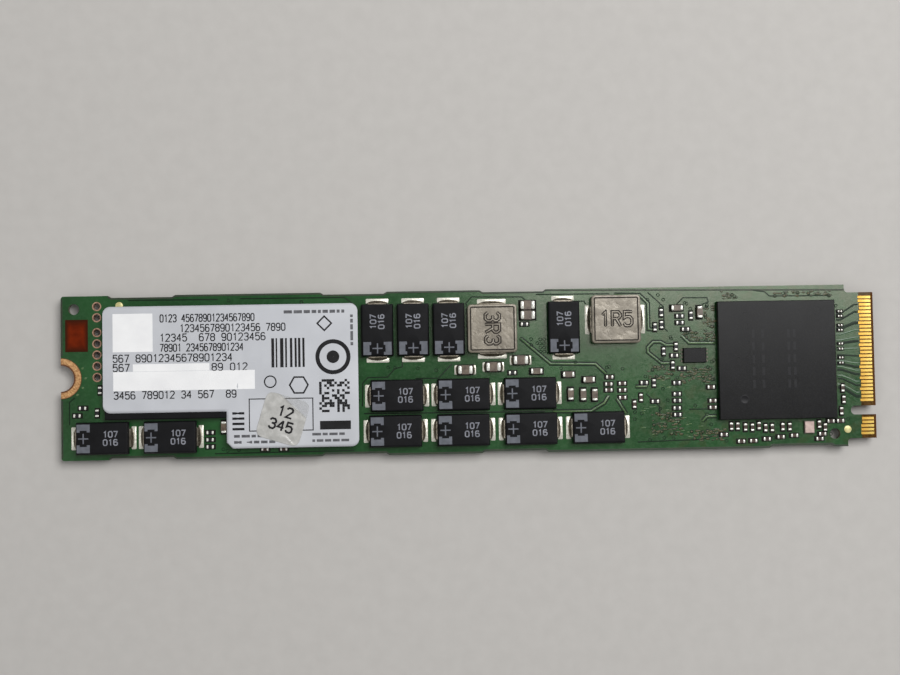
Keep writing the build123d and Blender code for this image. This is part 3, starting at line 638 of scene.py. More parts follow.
# Painted shade darkens the inner edge, where the plated wall lies in shadow; the outer rim is darker too.
inner_edge_shade = ranged(tree, from_notch, *INNER_EDGE, 1.0, 0.0)
dark_rims = reckoned(tree, "MAXIMUM", inner_edge_shade, ranged(tree, from_notch, *OUTER_EDGE))
fill(tree, shader, {"Base Color": mixed(tree, dark_rims, copper, ink(96, 56, 28)),
                    "Roughness": wandering(tree, grain, 0.3, 0.5), "Metallic": 0.5})
relief(tree, shader, grain, COPPER_DEPTH)
dress(land_copper, "screw_pad")

# %% [markdown]
# The eyelets of the debug port and the two alignment lands are round, so their profiles are turned. An
# eyelet has a rim on both faces and a plated barrel between them; a land is a flat dot with a rounded edge.

# %% Eyelets and lands
EYELET_WALL, EYELET_RIM, EYELET_SIDES = 0.17, 0.02, 40
PORT_STEPS = np.array([0.0, 1.5, 3.5, 5.0, 6.5, 8.0, 9.5])
LAND_RADIUS, LAND_ROUND, LAND_EDGE, LAND_SIDES = 0.5, 0.02, 0.01, 32
port_low, port_high = node_box("debug_port")
foot, head = port_low[2], port_high[2]
ring = (port_high[0] - port_low[0]) / 2
bore = ring - EYELET_WALL
eyelet = turned([(bore, foot + EYELET_RIM), (bore + EYELET_RIM, foot), (ring - EYELET_RIM, foot),
                 (ring, foot + EYELET_RIM), (ring, head - EYELET_RIM), (ring - EYELET_RIM, head),
                 (bore + EYELET_RIM, head), (bore, head - EYELET_RIM), (bore, foot + EYELET_RIM)],
                EYELET_SIDES)
port_x = (port_low[0] + port_high[0]) / 2
port_places = [(port_x, y, 0.0) for y in port_high[1] - ring - PORT_STEPS]
eyelet_plating = mottled("eyelet_plating", (142, 108, 88), (190, 152, 128), 0.3, (0.3, 0.45), 0.4)
make_piece("port_eyelets", stamped(eyelet, port_places), eyelet_plating, ["debug_port"])
land_low, land_high = node_box("fiducials")
land = turned([(0, board_top), (LAND_RADIUS, board_top), (LAND_RADIUS, land_high[2] - LAND_EDGE),
               (LAND_RADIUS - LAND_ROUND, land_high[2]), (0, land_high[2])], LAND_SIDES)
land_places = [(land_low[0] + LAND_RADIUS, land_high[1] - LAND_RADIUS, 0.0),
               (land_high[0] - LAND_RADIUS, land_low[1] + LAND_RADIUS, 0.0)]
bare_land = mottled("bare_land", (190, 182, 120), (222, 214, 158), 0.4, (0.3, 0.45), 0.3)
make_piece("alignment_lands", stamped(land, land_places), bare_land, ["fiducials"])

# %% [markdown]
# Packages are black moulding compound over a dark laminate, on tin balls. The compound is filled with fine
# silica, which gives a matt grey with tiny specks. A shallow round dimple shows contact one, and faint
# laser strokes stand in four plain columns. Both are thin solids on the moulding, so they also show from
# the side.

# %% Package finishes
PACKAGES = ["nand_a", "nand_b", "nand_c", "nand_d", "dram"]
MOULDING = {"grain": 3.0, "shine": 0.15, "fine": 0.09}
package_black = mottled("package_black", (12, 12, 13), (19, 19, 20), gloss=(0.22, 0.3), depth=0.002,
                        **MOULDING)
dress(package_black, "controller_mold", "power_chip_body")
memory_black = mottled("memory_black", (11, 11, 13), (18, 18, 20), gloss=(0.5, 0.7), depth=0.006,
                       **MOULDING)
dress(memory_black, *[name + "_mold" for name in PACKAGES])
package_laminate = mottled("package_laminate", (14, 26, 16), (28, 40, 26), 1.0, (0.45, 0.6), shine=0.3)
dress(package_laminate, *[name + "_substrate" for name in ["controller", *PACKAGES]])
ball_tin = mottled("ball_tin", (150, 150, 148), (205, 205, 200), 0.3, (0.3, 0.45), 1.0)
dress(ball_tin, "controller_balls", "memory_balls")

# %% Thin plates
def plates(boxes, low, thick):
    """Thin plates: each box is (left, bottom, right, top), from height low up by the thickness."""
    boxes = np.asarray(boxes, float)
    count = len(boxes)
    centres = np.stack([boxes[:, [0, 2]].mean(1), boxes[:, [1, 3]].mean(1), np.full(count, low)], axis=1)
    halves = (boxes[:, 2:] - boxes[:, :2]) / 2
    sizes = np.column_stack([halves, np.full(count, thick)])
    unit = turned([(0, 0), (math.sqrt(2), 0), (math.sqrt(2), 1), (0, 1)], 4)
    square = stamped(unit, [(0, 0, 0)], math.pi / 4)
    return stamped(square, centres, 0.0, sizes)


# %% Marks on the controller
MARK_THICKNESS, DIMPLE_FLOOR = 0.006, 0.002
DIMPLE_PROFILE = [(0, 0), (0.62, 0), (0.6, MARK_THICKNESS), (0.5, MARK_THICKNESS), (0.48, DIMPLE_FLOOR),
                  (0, DIMPLE_FLOOR)]
DIMPLE_SIDES = 40
DIMPLE_X, DIMPLE_Y = 3.4, 2.7
STROKE_COLUMNS = np.array([4.6, 5.9, 9.4, 10.2])
STROKE_ROWS = np.array([4.2, 5.9, 7.6, 9.3, 11.0])
STROKE_WIDTH, STROKE_LENGTH = 0.35, 1.1
LASERED = {"gloss": (0.26, 0.36), "shine": 0.15}
controller_top = controller_high[2]
dimple_place = [(controller_low[0] + DIMPLE_X, controller_low[1] + DIMPLE_Y, controller_top)]
dimple = stamped(turned(DIMPLE_PROFILE, DIMPLE_SIDES), dimple_place)
dimple_gloss = mottled("dimple_gloss", (23, 23, 25), (31, 31, 33), 0.8, **LASERED)
make_piece("contact_one_dimple", dimple, dimple_gloss)
stroke_x = np.repeat(controller_low[0] + STROKE_COLUMNS, len(STROKE_ROWS))
stroke_y = np.tile(controller_low[1] + STROKE_ROWS, len(STROKE_COLUMNS))
stroke_boxes = np.stack([stroke_x, stroke_y, stroke_x + STROKE_WIDTH, stroke_y + STROKE_LENGTH], axis=1)
laser_grey = mottled("laser_grey", (24, 24, 26), (34, 34, 36), 0.3, **LASERED)
date_strokes = plates(stroke_boxes, controller_top, MARK_THICKNESS / 2)
make_piece("date_strokes", date_strokes, laser_grey)

# %% [markdown]
# A tantalum capacitor is moulded in two halves, so its sides draw in above and below a parting line and its
# edges are slightly round. The solid has the same form with sharp edges. The softer case here is a loft: a
# rounded rectangle is drawn in a little at each height, and both ends run to a point in the middle. Over
# the anode end the upper edge is planed off at 45 degrees.

# %% Blocks with soft edges
def rounded_plan(half_x, half_y, radius, steps):
    """Rectangle with round corners: each corner's centre plus the radius turned through a quarter."""
    angle = (np.arange(4)[:, None] * math.pi / 2 + np.linspace(0, math.pi / 2, steps)).ravel()
    side_x = np.repeat([1, -1, -1, 1], steps)
    side_y = np.repeat([1, 1, -1, -1], steps)
    x = side_x * (half_x - radius) + radius * np.cos(angle)
    y = side_y * (half_y - radius) + radius * np.sin(angle)
    return np.stack([x, y], axis=1)


def lofted(plans, heights):
    """A surface through closed plans, one to a row: row k is plan k at height k."""
    plans, heights = np.stack(plans), np.array(heights)
    rows, columns = plans.shape[:2]
    points = np.concatenate([plans, np.broadcast_to(heights[:, None, None], (rows, columns, 1))], axis=-1)
    return points.reshape(-1, 3), grid_faces(rows, columns, wrap=True)


def soft_block(half_x, half_y, rings, corner, steps):
    """Loft of a rounded rectangle: ring k is drawn in by its inset at its height, with a pole at each end."""
    plans = [rounded_plan(half_x - inset, half_y - inset, max(corner - inset, corner / 4), steps)
             for inset, height in rings]
    heights = [height for inset, height in rings]
    return lofted([plans[0] * 0, *plans, plans[-1] * 0], [heights[0], *heights, heights[-1]])


# %% Moulded capacitor cases
PRINT_ROOM = 0.008
DRAFT, FOOT_ROUND, PARTING_HALF = 0.1, 0.06, 0.02
TOP_ROUND, TOP_BEND_IN, TOP_BEND_DOWN, TOP_FLAT = 0.07, 0.02, 0.025, 0.24
CASE_CORNER, CASE_CORNER_STEPS = 0.12, 5
ANODE_BEVEL, PLANED_ABOVE = 0.16, 0.1
case_top = part_top - PRINT_ROOM
case_boxes = [node_box(name) for name in capacitor_names]
case_spans = np.array([high - low for low, high in case_boxes])
case_turns = np.where(case_spans[:, 1] > case_spans[:, 0], math.pi / 2, 0.0)
case_places = np.array([flat_middle(name) for name in capacitor_names])
case_length, case_width = case_spans[0, :2]
case_floor = case_boxes[0][0][2]
case_parting = (case_floor + part_top) / 2
case_rings = [(DRAFT + FOOT_ROUND, case_floor), (DRAFT, case_floor + FOOT_ROUND),
              (0.0, case_parting - PARTING_HALF), (0.0, case_parting + PARTING_HALF),
              (DRAFT, case_top - TOP_ROUND), (DRAFT + TOP_BEND_IN, case_top - TOP_BEND_DOWN),
              (DRAFT + TOP_ROUND, case_top), (DRAFT + TOP_FLAT, case_top)]
case_points, case_faces = soft_block(case_length / 2, case_width / 2, case_rings, CASE_CORNER,
                                     CASE_CORNER_STEPS)
planed = case_top - ANODE_BEVEL + (case_points[:, 0] + case_length / 2 - DRAFT)
case_heights = case_points[:, 2]
case_points[:, 2] = np.where(case_heights > case_parting + PLANED_ABOVE, np.minimum(case_heights, planed),
                             case_heights)
capacitor_resin = mottled("capacitor_resin", (11, 11, 13), (18, 18, 21), 1.6, (0.45, 0.62), shine=0.16,
                          depth=0.006, fine=0.1)
make_piece("capacitor_cases", stamped((case_points, case_faces), case_places, case_turns), capacitor_resin,
           capacitor_names)

# %% [markdown]
# The anode end carries a printed bar with a plus sign, and the code beyond it is two rows of plain digits.
# Print is a thin solid, a few thousandths high. The bar is two blocks with notched inner edges, drawn once
# and stamped on every case.

# %% Polarity bars and plus signs
PRINT_THICKNESS = 0.006
PRINTED = {"gloss": (0.5, 0.65), "shine": 0.2}
BAR_START, BAR_END = 0.22, 1.95
BAR_OUTER_INSET, BAR_INNER_INSET = 0.26, 1.3
NOTCH_DEPTH, TAB_LENGTH = 0.22, 0.4
PLUS_REACH, PLUS_HALF_STROKE = 0.68, 0.085
anode_x = -case_length / 2
bar_start, bar_end = anode_x + BAR_START, anode_x + BAR_END
bar_outer, bar_inner = case_width / 2 - BAR_OUTER_INSET, case_width / 2 - BAR_INNER_INSET
plus_x = (bar_start + bar_end) / 2
upper_bar = [(bar_start, bar_inner + NOTCH_DEPTH, bar_end, bar_outer),
             (bar_start, bar_inner, bar_start + TAB_LENGTH, bar_inner + NOTCH_DEPTH),
             (bar_end - TAB_LENGTH, bar_inner, bar_end, bar_inner + NOTCH_DEPTH)]
lower_bar = [(left, -top, right, -bottom) for left, bottom, right, top in upper_bar]
plus_sign = [(plus_x - PLUS_REACH, -PLUS_HALF_STROKE, plus_x + PLUS_REACH, PLUS_HALF_STROKE),
             (plus_x - PLUS_HALF_STROKE, PLUS_HALF_STROKE, plus_x + PLUS_HALF_STROKE, PLUS_REACH),
             (plus_x - PLUS_HALF_STROKE, -PLUS_REACH, plus_x + PLUS_HALF_STROKE, -PLUS_HALF_STROKE)]
bar_grey = mottled("bar_grey", (92, 95, 102), (110, 113, 121), 0.8, **PRINTED)
for name, boxes in (("polarity_bars", upper_bar + lower_bar), ("plus_signs", plus_sign)):
    make_piece(name, stamped(plates(boxes, case_top, PRINT_THICKNESS), case_places, case_turns), bar_grey)

# %% [markdown]
# Digits could come from a text object, but marking machines draw plain strokes with cut corners, so each
# figure here is one or two paths on a grid four wide and six high, and every path is a stroke like the
# traces.

# %% Digits drawn as strokes
GRID_WIDTH, GRID_HEIGHT, GRID_STEP = 4.0, 6.0, 5.7
six = [(3.7, 5.3), (3, 6), (1, 6), (0, 5), (0, 1), (1, 0), (3, 0), (4, 1), (4, 2.6), (3, 3.5), (1, 3.5),
       (0, 2.6)]
FIGURES = {
    "0": [[(2, 0), (3, 0), (4, 1), (4, 5), (3, 6), (1, 6), (0, 5), (0, 1), (1, 0), (2, 0)]],
    "1": [[(0.9, 4.8), (2.3, 6), (2.3, 0)]],
    "2": [[(0, 5), (1, 6), (3, 6), (4, 5), (4, 4), (0, 0), (4, 0)]],
    "3": [[(0, 5), (1, 6), (3, 6), (4, 5), (4, 4), (3, 3.2), (1.5, 3.2)],
          [(3, 3.2), (4, 2.3), (4, 1), (3, 0), (1, 0), (0, 1)]],
    "4": [[(3, 0), (3, 6)], [(3, 6), (0, 1.9), (4, 1.9)]],
    "5": [[(4, 6), (0.4, 6), (0.2, 3.3), (1.2, 3.8), (3, 3.8), (4, 2.8), (4, 1), (3, 0), (1, 0), (0, 1)]],
    "6": [six],
    "7": [[(0, 6), (4, 6), (1.4, 0)]],
    "8": [[(2, 3.2), (1, 3.2), (0, 4), (0, 5), (1, 6), (3, 6), (4, 5), (4, 4), (3, 3.2), (2, 3.2)],
          [(1, 3.2), (0, 2.3), (0, 1), (1, 0), (3, 0), (4, 1), (4, 2.3), (3, 3.2)]],
    "9": [[(GRID_WIDTH - x, GRID_HEIGHT - y) for x, y in six]],
    "R": [[(0, 0), (0, 6), (3, 6), (4, 5), (4, 4), (3, 3.1), (0, 3.1)], [(2, 3.1), (4, 0)]],
    " ": [],
}


def digits(text, height, width, centre, line, turn=0.0, thick=PRINT_THICKNESS):
    """Strokes of a row of figures: grid points scaled to the row's height and width, about its centre."""
    scale = np.array([width / (GRID_STEP * (len(text) - 1) + GRID_WIDTH), height / GRID_HEIGHT])
    paths = [(np.array(path) + [index * GRID_STEP, 0]) * scale - [width / 2, height / 2]
             for index, figure in enumerate(text) for path in FIGURES[figure]]
    row = gathered([stroke(path, line, thick, 0.0) for path in paths])
    return stamped(row, [centre], turn)


# %% Codes on the capacitors
CODE_HEIGHT, CODE_WIDTH, CODE_GAP, CODE_LINE = 0.74, 1.85, 0.54, 0.15
CODE_SHARE = 0.66
code_x = anode_x + CODE_SHARE * case_length
code = gathered([digits(text, CODE_HEIGHT, CODE_WIDTH, (code_x, y, case_top), CODE_LINE)
                 for text, y in (("107", CODE_GAP), ("016", -CODE_GAP))])
print_grey = mottled("print_grey", (116, 118, 126), (146, 148, 156), 0.6, **PRINTED)
make_piece("capacitor_codes", stamped(code, case_places, case_turns), print_grey)

# %% [markdown]
# The chokes are pressed from coated iron powder: a warm grey with fine grains, a rim and a groove just
# inside it. The profile from foot to rim to groove is one list of rings, lofted over a rounded square. A
# dark strip is painted in the groove as shade. The pressed code is a broad dark stroke, painted shade on
# the walls of the pressed figures, with a narrow one of bare powder along its middle.

# %% Choke cores
GROOVE_OUTER, GROOVE_INNER, GROOVE_SLOPE, GROOVE_DEPTH = 0.28, 0.47, 0.02, 0.1
STRIP_TOP, STRIP_LOW = 0.06, 0.09
CHOKE_CORNER, CHOKE_CORNER_STEPS = 0.48, 6
CHOKE_FOOT, CHOKE_FOOT_RISE, CHOKE_FLAT = 0.1, 0.08, 0.9
SHOULDER_DROP, RIM_BEND_IN, RIM_BEND_DROP, RIM_IN = 0.14, 0.03, 0.05, 0.12
choke_top = part_top - PRINT_ROOM
# The broad blotches of tone are partly the powder's own mottling and partly painted sheen.
choke_powder = mottled("choke_powder", (110, 103, 91), (146, 138, 124), 2.4, (0.26, 0.42), 0.22, depth=0.05,
                       fine=0.9)
# Painted shade: a dark strip in each choke's groove.
painted_groove_shade = mottled("painted_groove_shade", (30, 26, 21), (52, 45, 38), 0.5, **PRINTED)
for name in CHOKES:
    core_low, core_high = node_box(name + "_core")
    core_half = (core_high - core_low) / 2
    core_place = [flat_middle(name + "_core")]
    groove_floor = choke_top - GROOVE_DEPTH
    core_rings = [(CHOKE_FOOT, core_low[2]), (0.0, core_low[2] + CHOKE_FOOT_RISE),
                  (0.0, choke_top - SHOULDER_DROP), (RIM_BEND_IN, choke_top - RIM_BEND_DROP),
                  (RIM_IN, choke_top), (GROOVE_OUTER, choke_top),
                  (GROOVE_OUTER + GROOVE_SLOPE, groove_floor), (GROOVE_INNER - GROOVE_SLOPE, groove_floor),
                  (GROOVE_INNER, choke_top), (CHOKE_FLAT, choke_top)]
    core = soft_block(core_half[0], core_half[1], core_rings, CHOKE_CORNER, CHOKE_CORNER_STEPS)
    make_piece(name + "_block", stamped(core, core_place), choke_powder, [name + "_core"])
    outer, inner = [rounded_plan(core_half[0] - inset, core_half[1] - inset, CHOKE_CORNER - inset / 2,
                                 CHOKE_CORNER_STEPS) for inset in (GROOVE_OUTER, GROOVE_INNER)]
    strip_top, strip_low = choke_top - STRIP_TOP, choke_top - STRIP_LOW
    strip_heights = [strip_top, strip_top, strip_low, strip_low, strip_top]
    strip = lofted([outer, inner, inner, outer, outer], strip_heights)
    make_piece(name + "_groove_shade", stamped(strip, core_place), painted_groove_shade)

# %% Value codes on the chokes
VALUE_HEIGHT, VALUE_WIDTH = 1.9, 4.2
PRESSED_LINE, PRESSED_HEIGHT = 0.48, 0.003
BARE_LINE, BARE_HEIGHT = 0.18, 0.007
# Painted shade: the broad dark stroke of each pressed code stands for the shade on its walls.
pressed_code_shade = mottled("pressed_code_shade", (28, 24, 20), (50, 43, 36), 0.5, (0.45, 0.6), shine=0.2)
for name, text, turn in (("choke_a", "3R3", -math.pi / 2), ("choke_b", "1R5", 0.0)):
    value_place = flat_middle(name + "_core") + [0, 0, choke_top]
    for ending, finish, line, thick in (("_code", pressed_code_shade, PRESSED_LINE, PRESSED_HEIGHT),
                                        ("_code_face", choke_powder, BARE_LINE, BARE_HEIGHT)):
        value = digits(text, VALUE_HEIGHT, VALUE_WIDTH, value_place, line, turn, thick)
        make_piece(name + ending, value, finish)

# %% [markdown]
# Solder wets the pad in front of a lead and climbs the lead in a hollow slope. The pad is a soft-edged
# plate, painted bright from above as a highlight. On it lies the slope, painted dark as shade: with u
# across the lead from -1 to 1 and v down the slope from 0 to 1, the height is rise (1 - v)^2 and the reach
# follows half an ellipse. It closes along the board.

# %% Shapes of a solder joint
PAD_HEIGHT, PAD_ROUND_SHARE = 0.05, 0.6
PAD_CORNER, PAD_CORNER_STEPS = 0.12, 3


def solder_pad(width, reach):
    """Soft-edged plate from the lead's face outwards along +X."""
    pad_round = PAD_HEIGHT * PAD_ROUND_SHARE
    points, faces = soft_block(reach / 2, width / 2, [(0.0, 0.0), (0.0, pad_round), (pad_round, PAD_HEIGHT)],
                               PAD_CORNER, PAD_CORNER_STEPS)
    return points + [reach / 2, 0, 0], faces


def solder_slope(width, reach, rise, foot, spread=13, steps=6):
    """Hollow slope at +X: with round = sqrt(1 - u^2), it lies at reach * v * round out from the lead
    and at foot + rise * (1 - v)^2 * round up."""
    u = np.sin(np.linspace(-math.pi / 2, math.pi / 2, spread))[:, None]
    v = np.linspace(0, 1, steps)
    round_end = np.sqrt(np.maximum(1 - u ** 2, 0))
    out = np.concatenate([reach * v * round_end, 0 * u], axis=1)
    height = np.concatenate([foot + rise * (1 - v) ** 2 * round_end, 0 * u + foot / 2], axis=1)
    across = np.broadcast_to(u * width / 2, out.shape)
    points = np.stack([out, across, height], axis=-1)
    return points.reshape(-1, 3), grid_faces(*out.shape, wrap=True)


def outward(turns):
    """Unit vectors that point along the turns."""
    return np.stack([np.cos(turns), np.sin(turns), 0 * turns], axis=1)


# %% Joints of the capacitors and chokes
SOLDER_REACH, SLOPE_REACH, SOLDER_RISE = 0.66, 0.4, 0.45
LEAD_THICKNESS = 0.12
CASE_PAD_WIDTH, CASE_SLOPE_WIDTH = 3.05, 2.75
CHOKE_PAD_WIDTH, CHOKE_SLOPE_WIDTH = 3.9, 3.5
pads = []
slopes = []


def lay_solder(middles, turns, reach, pad, slope):
    """Adds a pad and a slope at each foot: the foot lies at the reach from the middle, along the turn."""
    feet = middles + outward(turns) * reach + [0, 0, board_top]
    pads.append(stamped(solder_pad(*pad), feet, turns))
    slopes.append(stamped(solder_slope(*slope, PAD_HEIGHT), feet, turns))


case_ends = np.concatenate([case_turns, case_turns + math.pi])
lay_solder(np.concatenate([case_places] * 2), case_ends, case_length / 2 + LEAD_THICKNESS,
           (CASE_PAD_WIDTH, SOLDER_REACH), (CASE_SLOPE_WIDTH, SLOPE_REACH, SOLDER_RISE))
for name, turn in (("choke_a", math.pi / 2), ("choke_b", 0.0)):
    ends_low, ends_high = node_box(name + "_terminals")
    reach = (ends_high - ends_low)[1 if turn else 0] / 2
    lay_solder(flat_middle(name + "_terminals"), np.array([turn, turn + math.pi]), reach,
               (CHOKE_PAD_WIDTH, SOLDER_REACH), (CHOKE_SLOPE_WIDTH, SLOPE_REACH, SOLDER_RISE))
print("feet with solder:", len(case_ends) + 2 * len(CHOKES))

# %% [markdown]
# The large ceramic capacitors in the lane under the first choke stand on the same kind of joint. Their ends
# come in pairs in the frame, so the way an end faces is the line from its partner to itself.

# %% Joints of the large ceramic capacitors
LARGE_WIDTH, LARGE_PAD_REACH = 1.0, 0.45
LARGE_SLOPE_SHARE, LARGE_SLOPE_REACH, LARGE_RISE = 1.05, 0.32, 0.4


def ends_of(node):
    """Each chip end: its centre, the way it faces, and its half size along that way, across it and up."""
    centres, halves = blocks_in(node)
    pairs = centres.reshape(-1, 2, 3)
    ways = (pairs - pairs[:, ::-1]).reshape(-1, 3)
    turns = np.arctan2(ways[:, 1], ways[:, 0])
    upright = np.abs(ways[:, 1]) > np.abs(ways[:, 0])
    return centres, turns, np.where(upright[:, None], halves[:, [1, 0, 2]], halves)


end_centres, end_turns, end_halves = ends_of("ceramic_capacitor_ends")
in_lane = end_centres[:, 1] < node_box("choke_a_core")[0][1]
large = (2 * end_halves[:, 1] > LARGE_WIDTH) & in_lane
large_width = 2 * end_halves[large, 1].max()
lay_solder(end_centres[large] * FLAT, end_turns[large], end_halves[large, :1], (large_width, LARGE_PAD_REACH),
           (LARGE_SLOPE_SHARE * large_width, LARGE_SLOPE_REACH, LARGE_RISE))
# Painted light: one solder in two tones, bright on the level pads as a highlight and dark on the hollow
# slopes as shade.
highlit_solder = mottled("highlit_solder", (206, 204, 190), (240, 238, 224), 0.4, (0.22, 0.36), 0.35,
                        depth=0.008, fine=0.3)
shaded_solder = mottled("shaded_solder", (82, 74, 62), (140, 132, 118), 0.4, (0.25, 0.4), 0.8, depth=0.006,
                      fine=0.3)
make_piece("solder_pads", gathered(pads), highlit_solder)
make_piece("solder_slopes", gathered(slopes), shaded_solder, ["solder_joints"])
lead_tin = mottled("lead_tin", (104, 96, 84), (158, 150, 136), 0.6, (0.28, 0.45), 0.8, depth=0.006)
dress(lead_tin, "capacitor_anode_leads", "capacitor_cathode_leads", "choke_a_terminals", "choke_b_terminals")
dull_tin = mottled("dull_tin", (58, 54, 46), (92, 86, 74), 0.3, (0.35, 0.5), 0.4)
dress(dull_tin, "power_chip_leads")

# %% [markdown]
# Chip capacitors and resistors are ceramic bricks with tinned ends. Each end in the frame is a plain block;
# a loft with rounded edges stands for it, and a toe of solder lies in front, both stamped at the size and
# place of every block. The finish of the ends reads how level a face lies: the level top is painted bright
# as lit tin and the sides dark as painted shade, and the toes are painted dark as shade. Around each chip a
# nearly black plate is painted as shade.

# %% Tin and solder of the chip ends
TIN_GRAIN, TIN_DEPTH, TOP_RANGE = 0.25, 0.006, (0.6, 0.95)
chip_tin, tree, shader, place = new_finish("chip_tin")
grain = cloud(tree, place, TIN_GRAIN)
lit_tin_top = two_tones(tree, grain, (204, 204, 195), (242, 242, 233))
# Painted light: the level top takes the lit tin colour and the sides a painted shade.
lit_top_share = ranged(tree, levelness(tree), *TOP_RANGE)
fill(tree, shader, {"Base Color": mixed(tree, lit_top_share, ink(70, 66, 57), lit_tin_top),
                    "Roughness": wandering(tree, grain, 0.2, 0.34), "Metallic": 0.3})
relief(tree, shader, grain, TIN_DEPTH)
# Painted shade: the solder toes are dark.
shaded_toe_solder = mottled("shaded_toe_solder", (46, 44, 38), (92, 88, 78), 0.3, (0.25, 0.4), 0.6)
print("finishes of the chip ends:", chip_tin.name, shaded_toe_solder.name)

# %% Chip ends with their solder
END_RINGS = [(0.0, 0.0), (0.0, 0.8), (0.14, 0.95), (0.34, 1.0)]
END_CORNER, END_CORNER_STEPS = 0.4, 2
TOE_SPREAD, TOE_STEPS = 7, 4
END_WRAP = 0.05
TOE_SHARE, TOE_RISE = 0.26, 0.85
CERAMIC_TOE_SHARE = TOE_SHARE / 4
unit_end = soft_block(1.0, 1.0, END_RINGS, END_CORNER, END_CORNER_STEPS)
unit_toe = solder_slope(1.0, 1.0, 1.0, 0.0, TOE_SPREAD, TOE_STEPS)


def chip_ends(chips, node, way, toe_share):
    """A rounded end and a solder toe for every block of a node; way is 1 on the upper face and -1 below."""
    centres, turns, halves = ends_of(node)
    feet = centres - halves * [0, 0, way]
    cap_sizes = halves * [1, 1, 2 * way] + [END_WRAP / 2, 0, 0]
    caps = stamped(unit_end, feet - outward(turns) * END_WRAP / 2, turns, cap_sizes)
    make_piece(chips + "_end_caps", caps, chip_tin, [node])
    toe_sizes = 2 * np.column_stack([toe_share * halves[:, 1], halves[:, 1], way * TOE_RISE * halves[:, 2]])
    toes = stamped(unit_toe, feet + outward(turns) * halves[:, :1], turns, toe_sizes)
    make_piece(chips + "_end_toes", toes, shaded_toe_solder)


chip_ends("small", "small_chip_ends", 1, TOE_SHARE)
chip_ends("ceramic", "ceramic_capacitor_ends", 1, CERAMIC_TOE_SHARE)
chip_ends("underside", "underside_capacitor_ends", -1, TOE_SHARE)

# %% Painted shade round the chips
SHADE_ALONG, SHADE_ACROSS, SHADE_HEIGHT = 0.22, 0.11, 0.004
unit_plate = plates([(-1, -1, 1, 1)], 0, 1)


def shade_plates(node):
    """A plate under every chip, larger than the chip by a margin along it and a smaller one across it."""
    centres, turns, halves = ends_of(node)
    middles = centres.reshape(-1, 2, 3).mean(axis=1)
    reach = np.linalg.norm(centres[::2] - middles, axis=1) + halves[::2, 0] + SHADE_ALONG
    sizes = np.column_stack([reach, halves[::2, 1] + SHADE_ACROSS, np.full(len(reach), SHADE_HEIGHT)])
    return stamped(unit_plate, on_board(middles[:, :2]), turns[::2], sizes)


chip_shade_shapes = gathered([shade_plates("small_chip_ends"), shade_plates("ceramic_capacitor_ends")])
# Painted shade: a nearly black plate round every chip.
painted_chip_shade = mottled("painted_chip_shade", (8, 13, 6), (21, 23, 14), 0.5, (0.4, 0.55), shine=0.15)
make_piece("chip_shade_plates", chip_shade_shapes, painted_chip_shade)

# %% [markdown]
# The bodies between the tinned ends differ by what they are made of: brown fired ceramic for capacitors,
# black glaze for resistors, pink-grey metal over ceramic for the crystal. The solids have the right form
# already, so each gets a mottled finish of its own.

# %% Bodies of the small parts
ceramic_brown = mottled("ceramic_brown", (74, 59, 49), (112, 99, 83), 0.6, (0.28, 0.4), shine=0.45)
dress(ceramic_brown, "ceramic_capacitor_bodies", "underside_capacitor_bodies")
small_brown = mottled("small_brown", (44, 34, 28), (78, 60, 50), 0.4, (0.4, 0.55), shine=0.3)
dress(small_brown, "small_capacitor_bodies")
resistor_glaze = mottled("resistor_glaze", (14, 14, 16), (30, 30, 32), 0.4, (0.3, 0.45), shine=0.3)
dress(resistor_glaze, "small_resistor_bodies")
crystal_lid = mottled("crystal_lid", (164, 140, 132), (190, 168, 160), 0.6, (0.3, 0.42), 0.2)
dress(crystal_lid, "crystal_lid")
crystal_ceramic = mottled("crystal_ceramic", (58, 50, 42), (90, 80, 68), 0.5, (0.4, 0.55))
dress(crystal_ceramic, "crystal_base")

# %% [markdown]
# The label is thin paper stuck over two packages. It lies flat on them, sags into the gap between them and
# droops where it overhangs. Its outline has round corners, a step at the lower left and a torn corner. For
# each x the outline gives a lowest and a highest y, and the rows between run straight from one to the
# other.

# %% How the label lies
SAG_DEPTH, SAG_WIDTH = 0.03, 0.45
DROOP, DROOP_TOP, DROOP_LOW = 0.05, 1.2, 0.8
PAPER_RIPPLE, PAPER_WAVES, PAPER_DROP = 0.006, ((0.9, 0.7), (0.43, -1.3)), 0.014
label_low, label_high = node_box("label")
nand_a_low, nand_a_high = node_box("nand_a_mold")
nand_b_low, nand_b_high = node_box("nand_b_mold")
gap_middle = (nand_a_high[0] + nand_b_low[0]) / 2
print("label", (label_high - label_low).round(2), "sags at x =", gap_middle.round(2))


def ripples(x, y, waves):
    """Slow ripples: the sum of sin(a x + b y) over the waves (a, b)."""
    return sum(np.sin(a * x + b * y) for a, b in waves)


def label_height(x, y):
    """Paper's upper face: flat, less a sag in the gap and the square of the overhang, plus ripples."""
    sag = SAG_DEPTH * np.exp(-((x - gap_middle) / SAG_WIDTH) ** 2)
    over_right = np.maximum(x - nand_b_high[0], 0)
    over_top = np.maximum(y - np.where(x < gap_middle, nand_a_high[1], nand_b_high[1]), 0)
    over_low = np.maximum(np.where(x < gap_middle, nand_a_low[1], nand_b_low[1]) - y, 0)
    overhang = over_right ** 2 + np.minimum(over_top, DROOP_TOP) ** 2 + np.minimum(over_low, DROOP_LOW) ** 2
    droop = DROOP * overhang
    ripple = PAPER_RIPPLE * ripples(x, y, PAPER_WAVES)
    return label_high[2] - PAPER_DROP - sag - droop + ripple


# %% Label sheet
LABEL_CORNER, CORNER_STEPS, CORNER_CLEAR = 1.0, 10, 1.2
LABEL_SHELF, LABEL_STEP, TORN_CORNER = -4.75, -32.85, 0.8
LEFT_COLUMNS, RIGHT_COLUMNS, UPPER_ROWS, LOWER_ROWS = 40, 44, 36, 14
PAPER_THICKNESS = 0.07


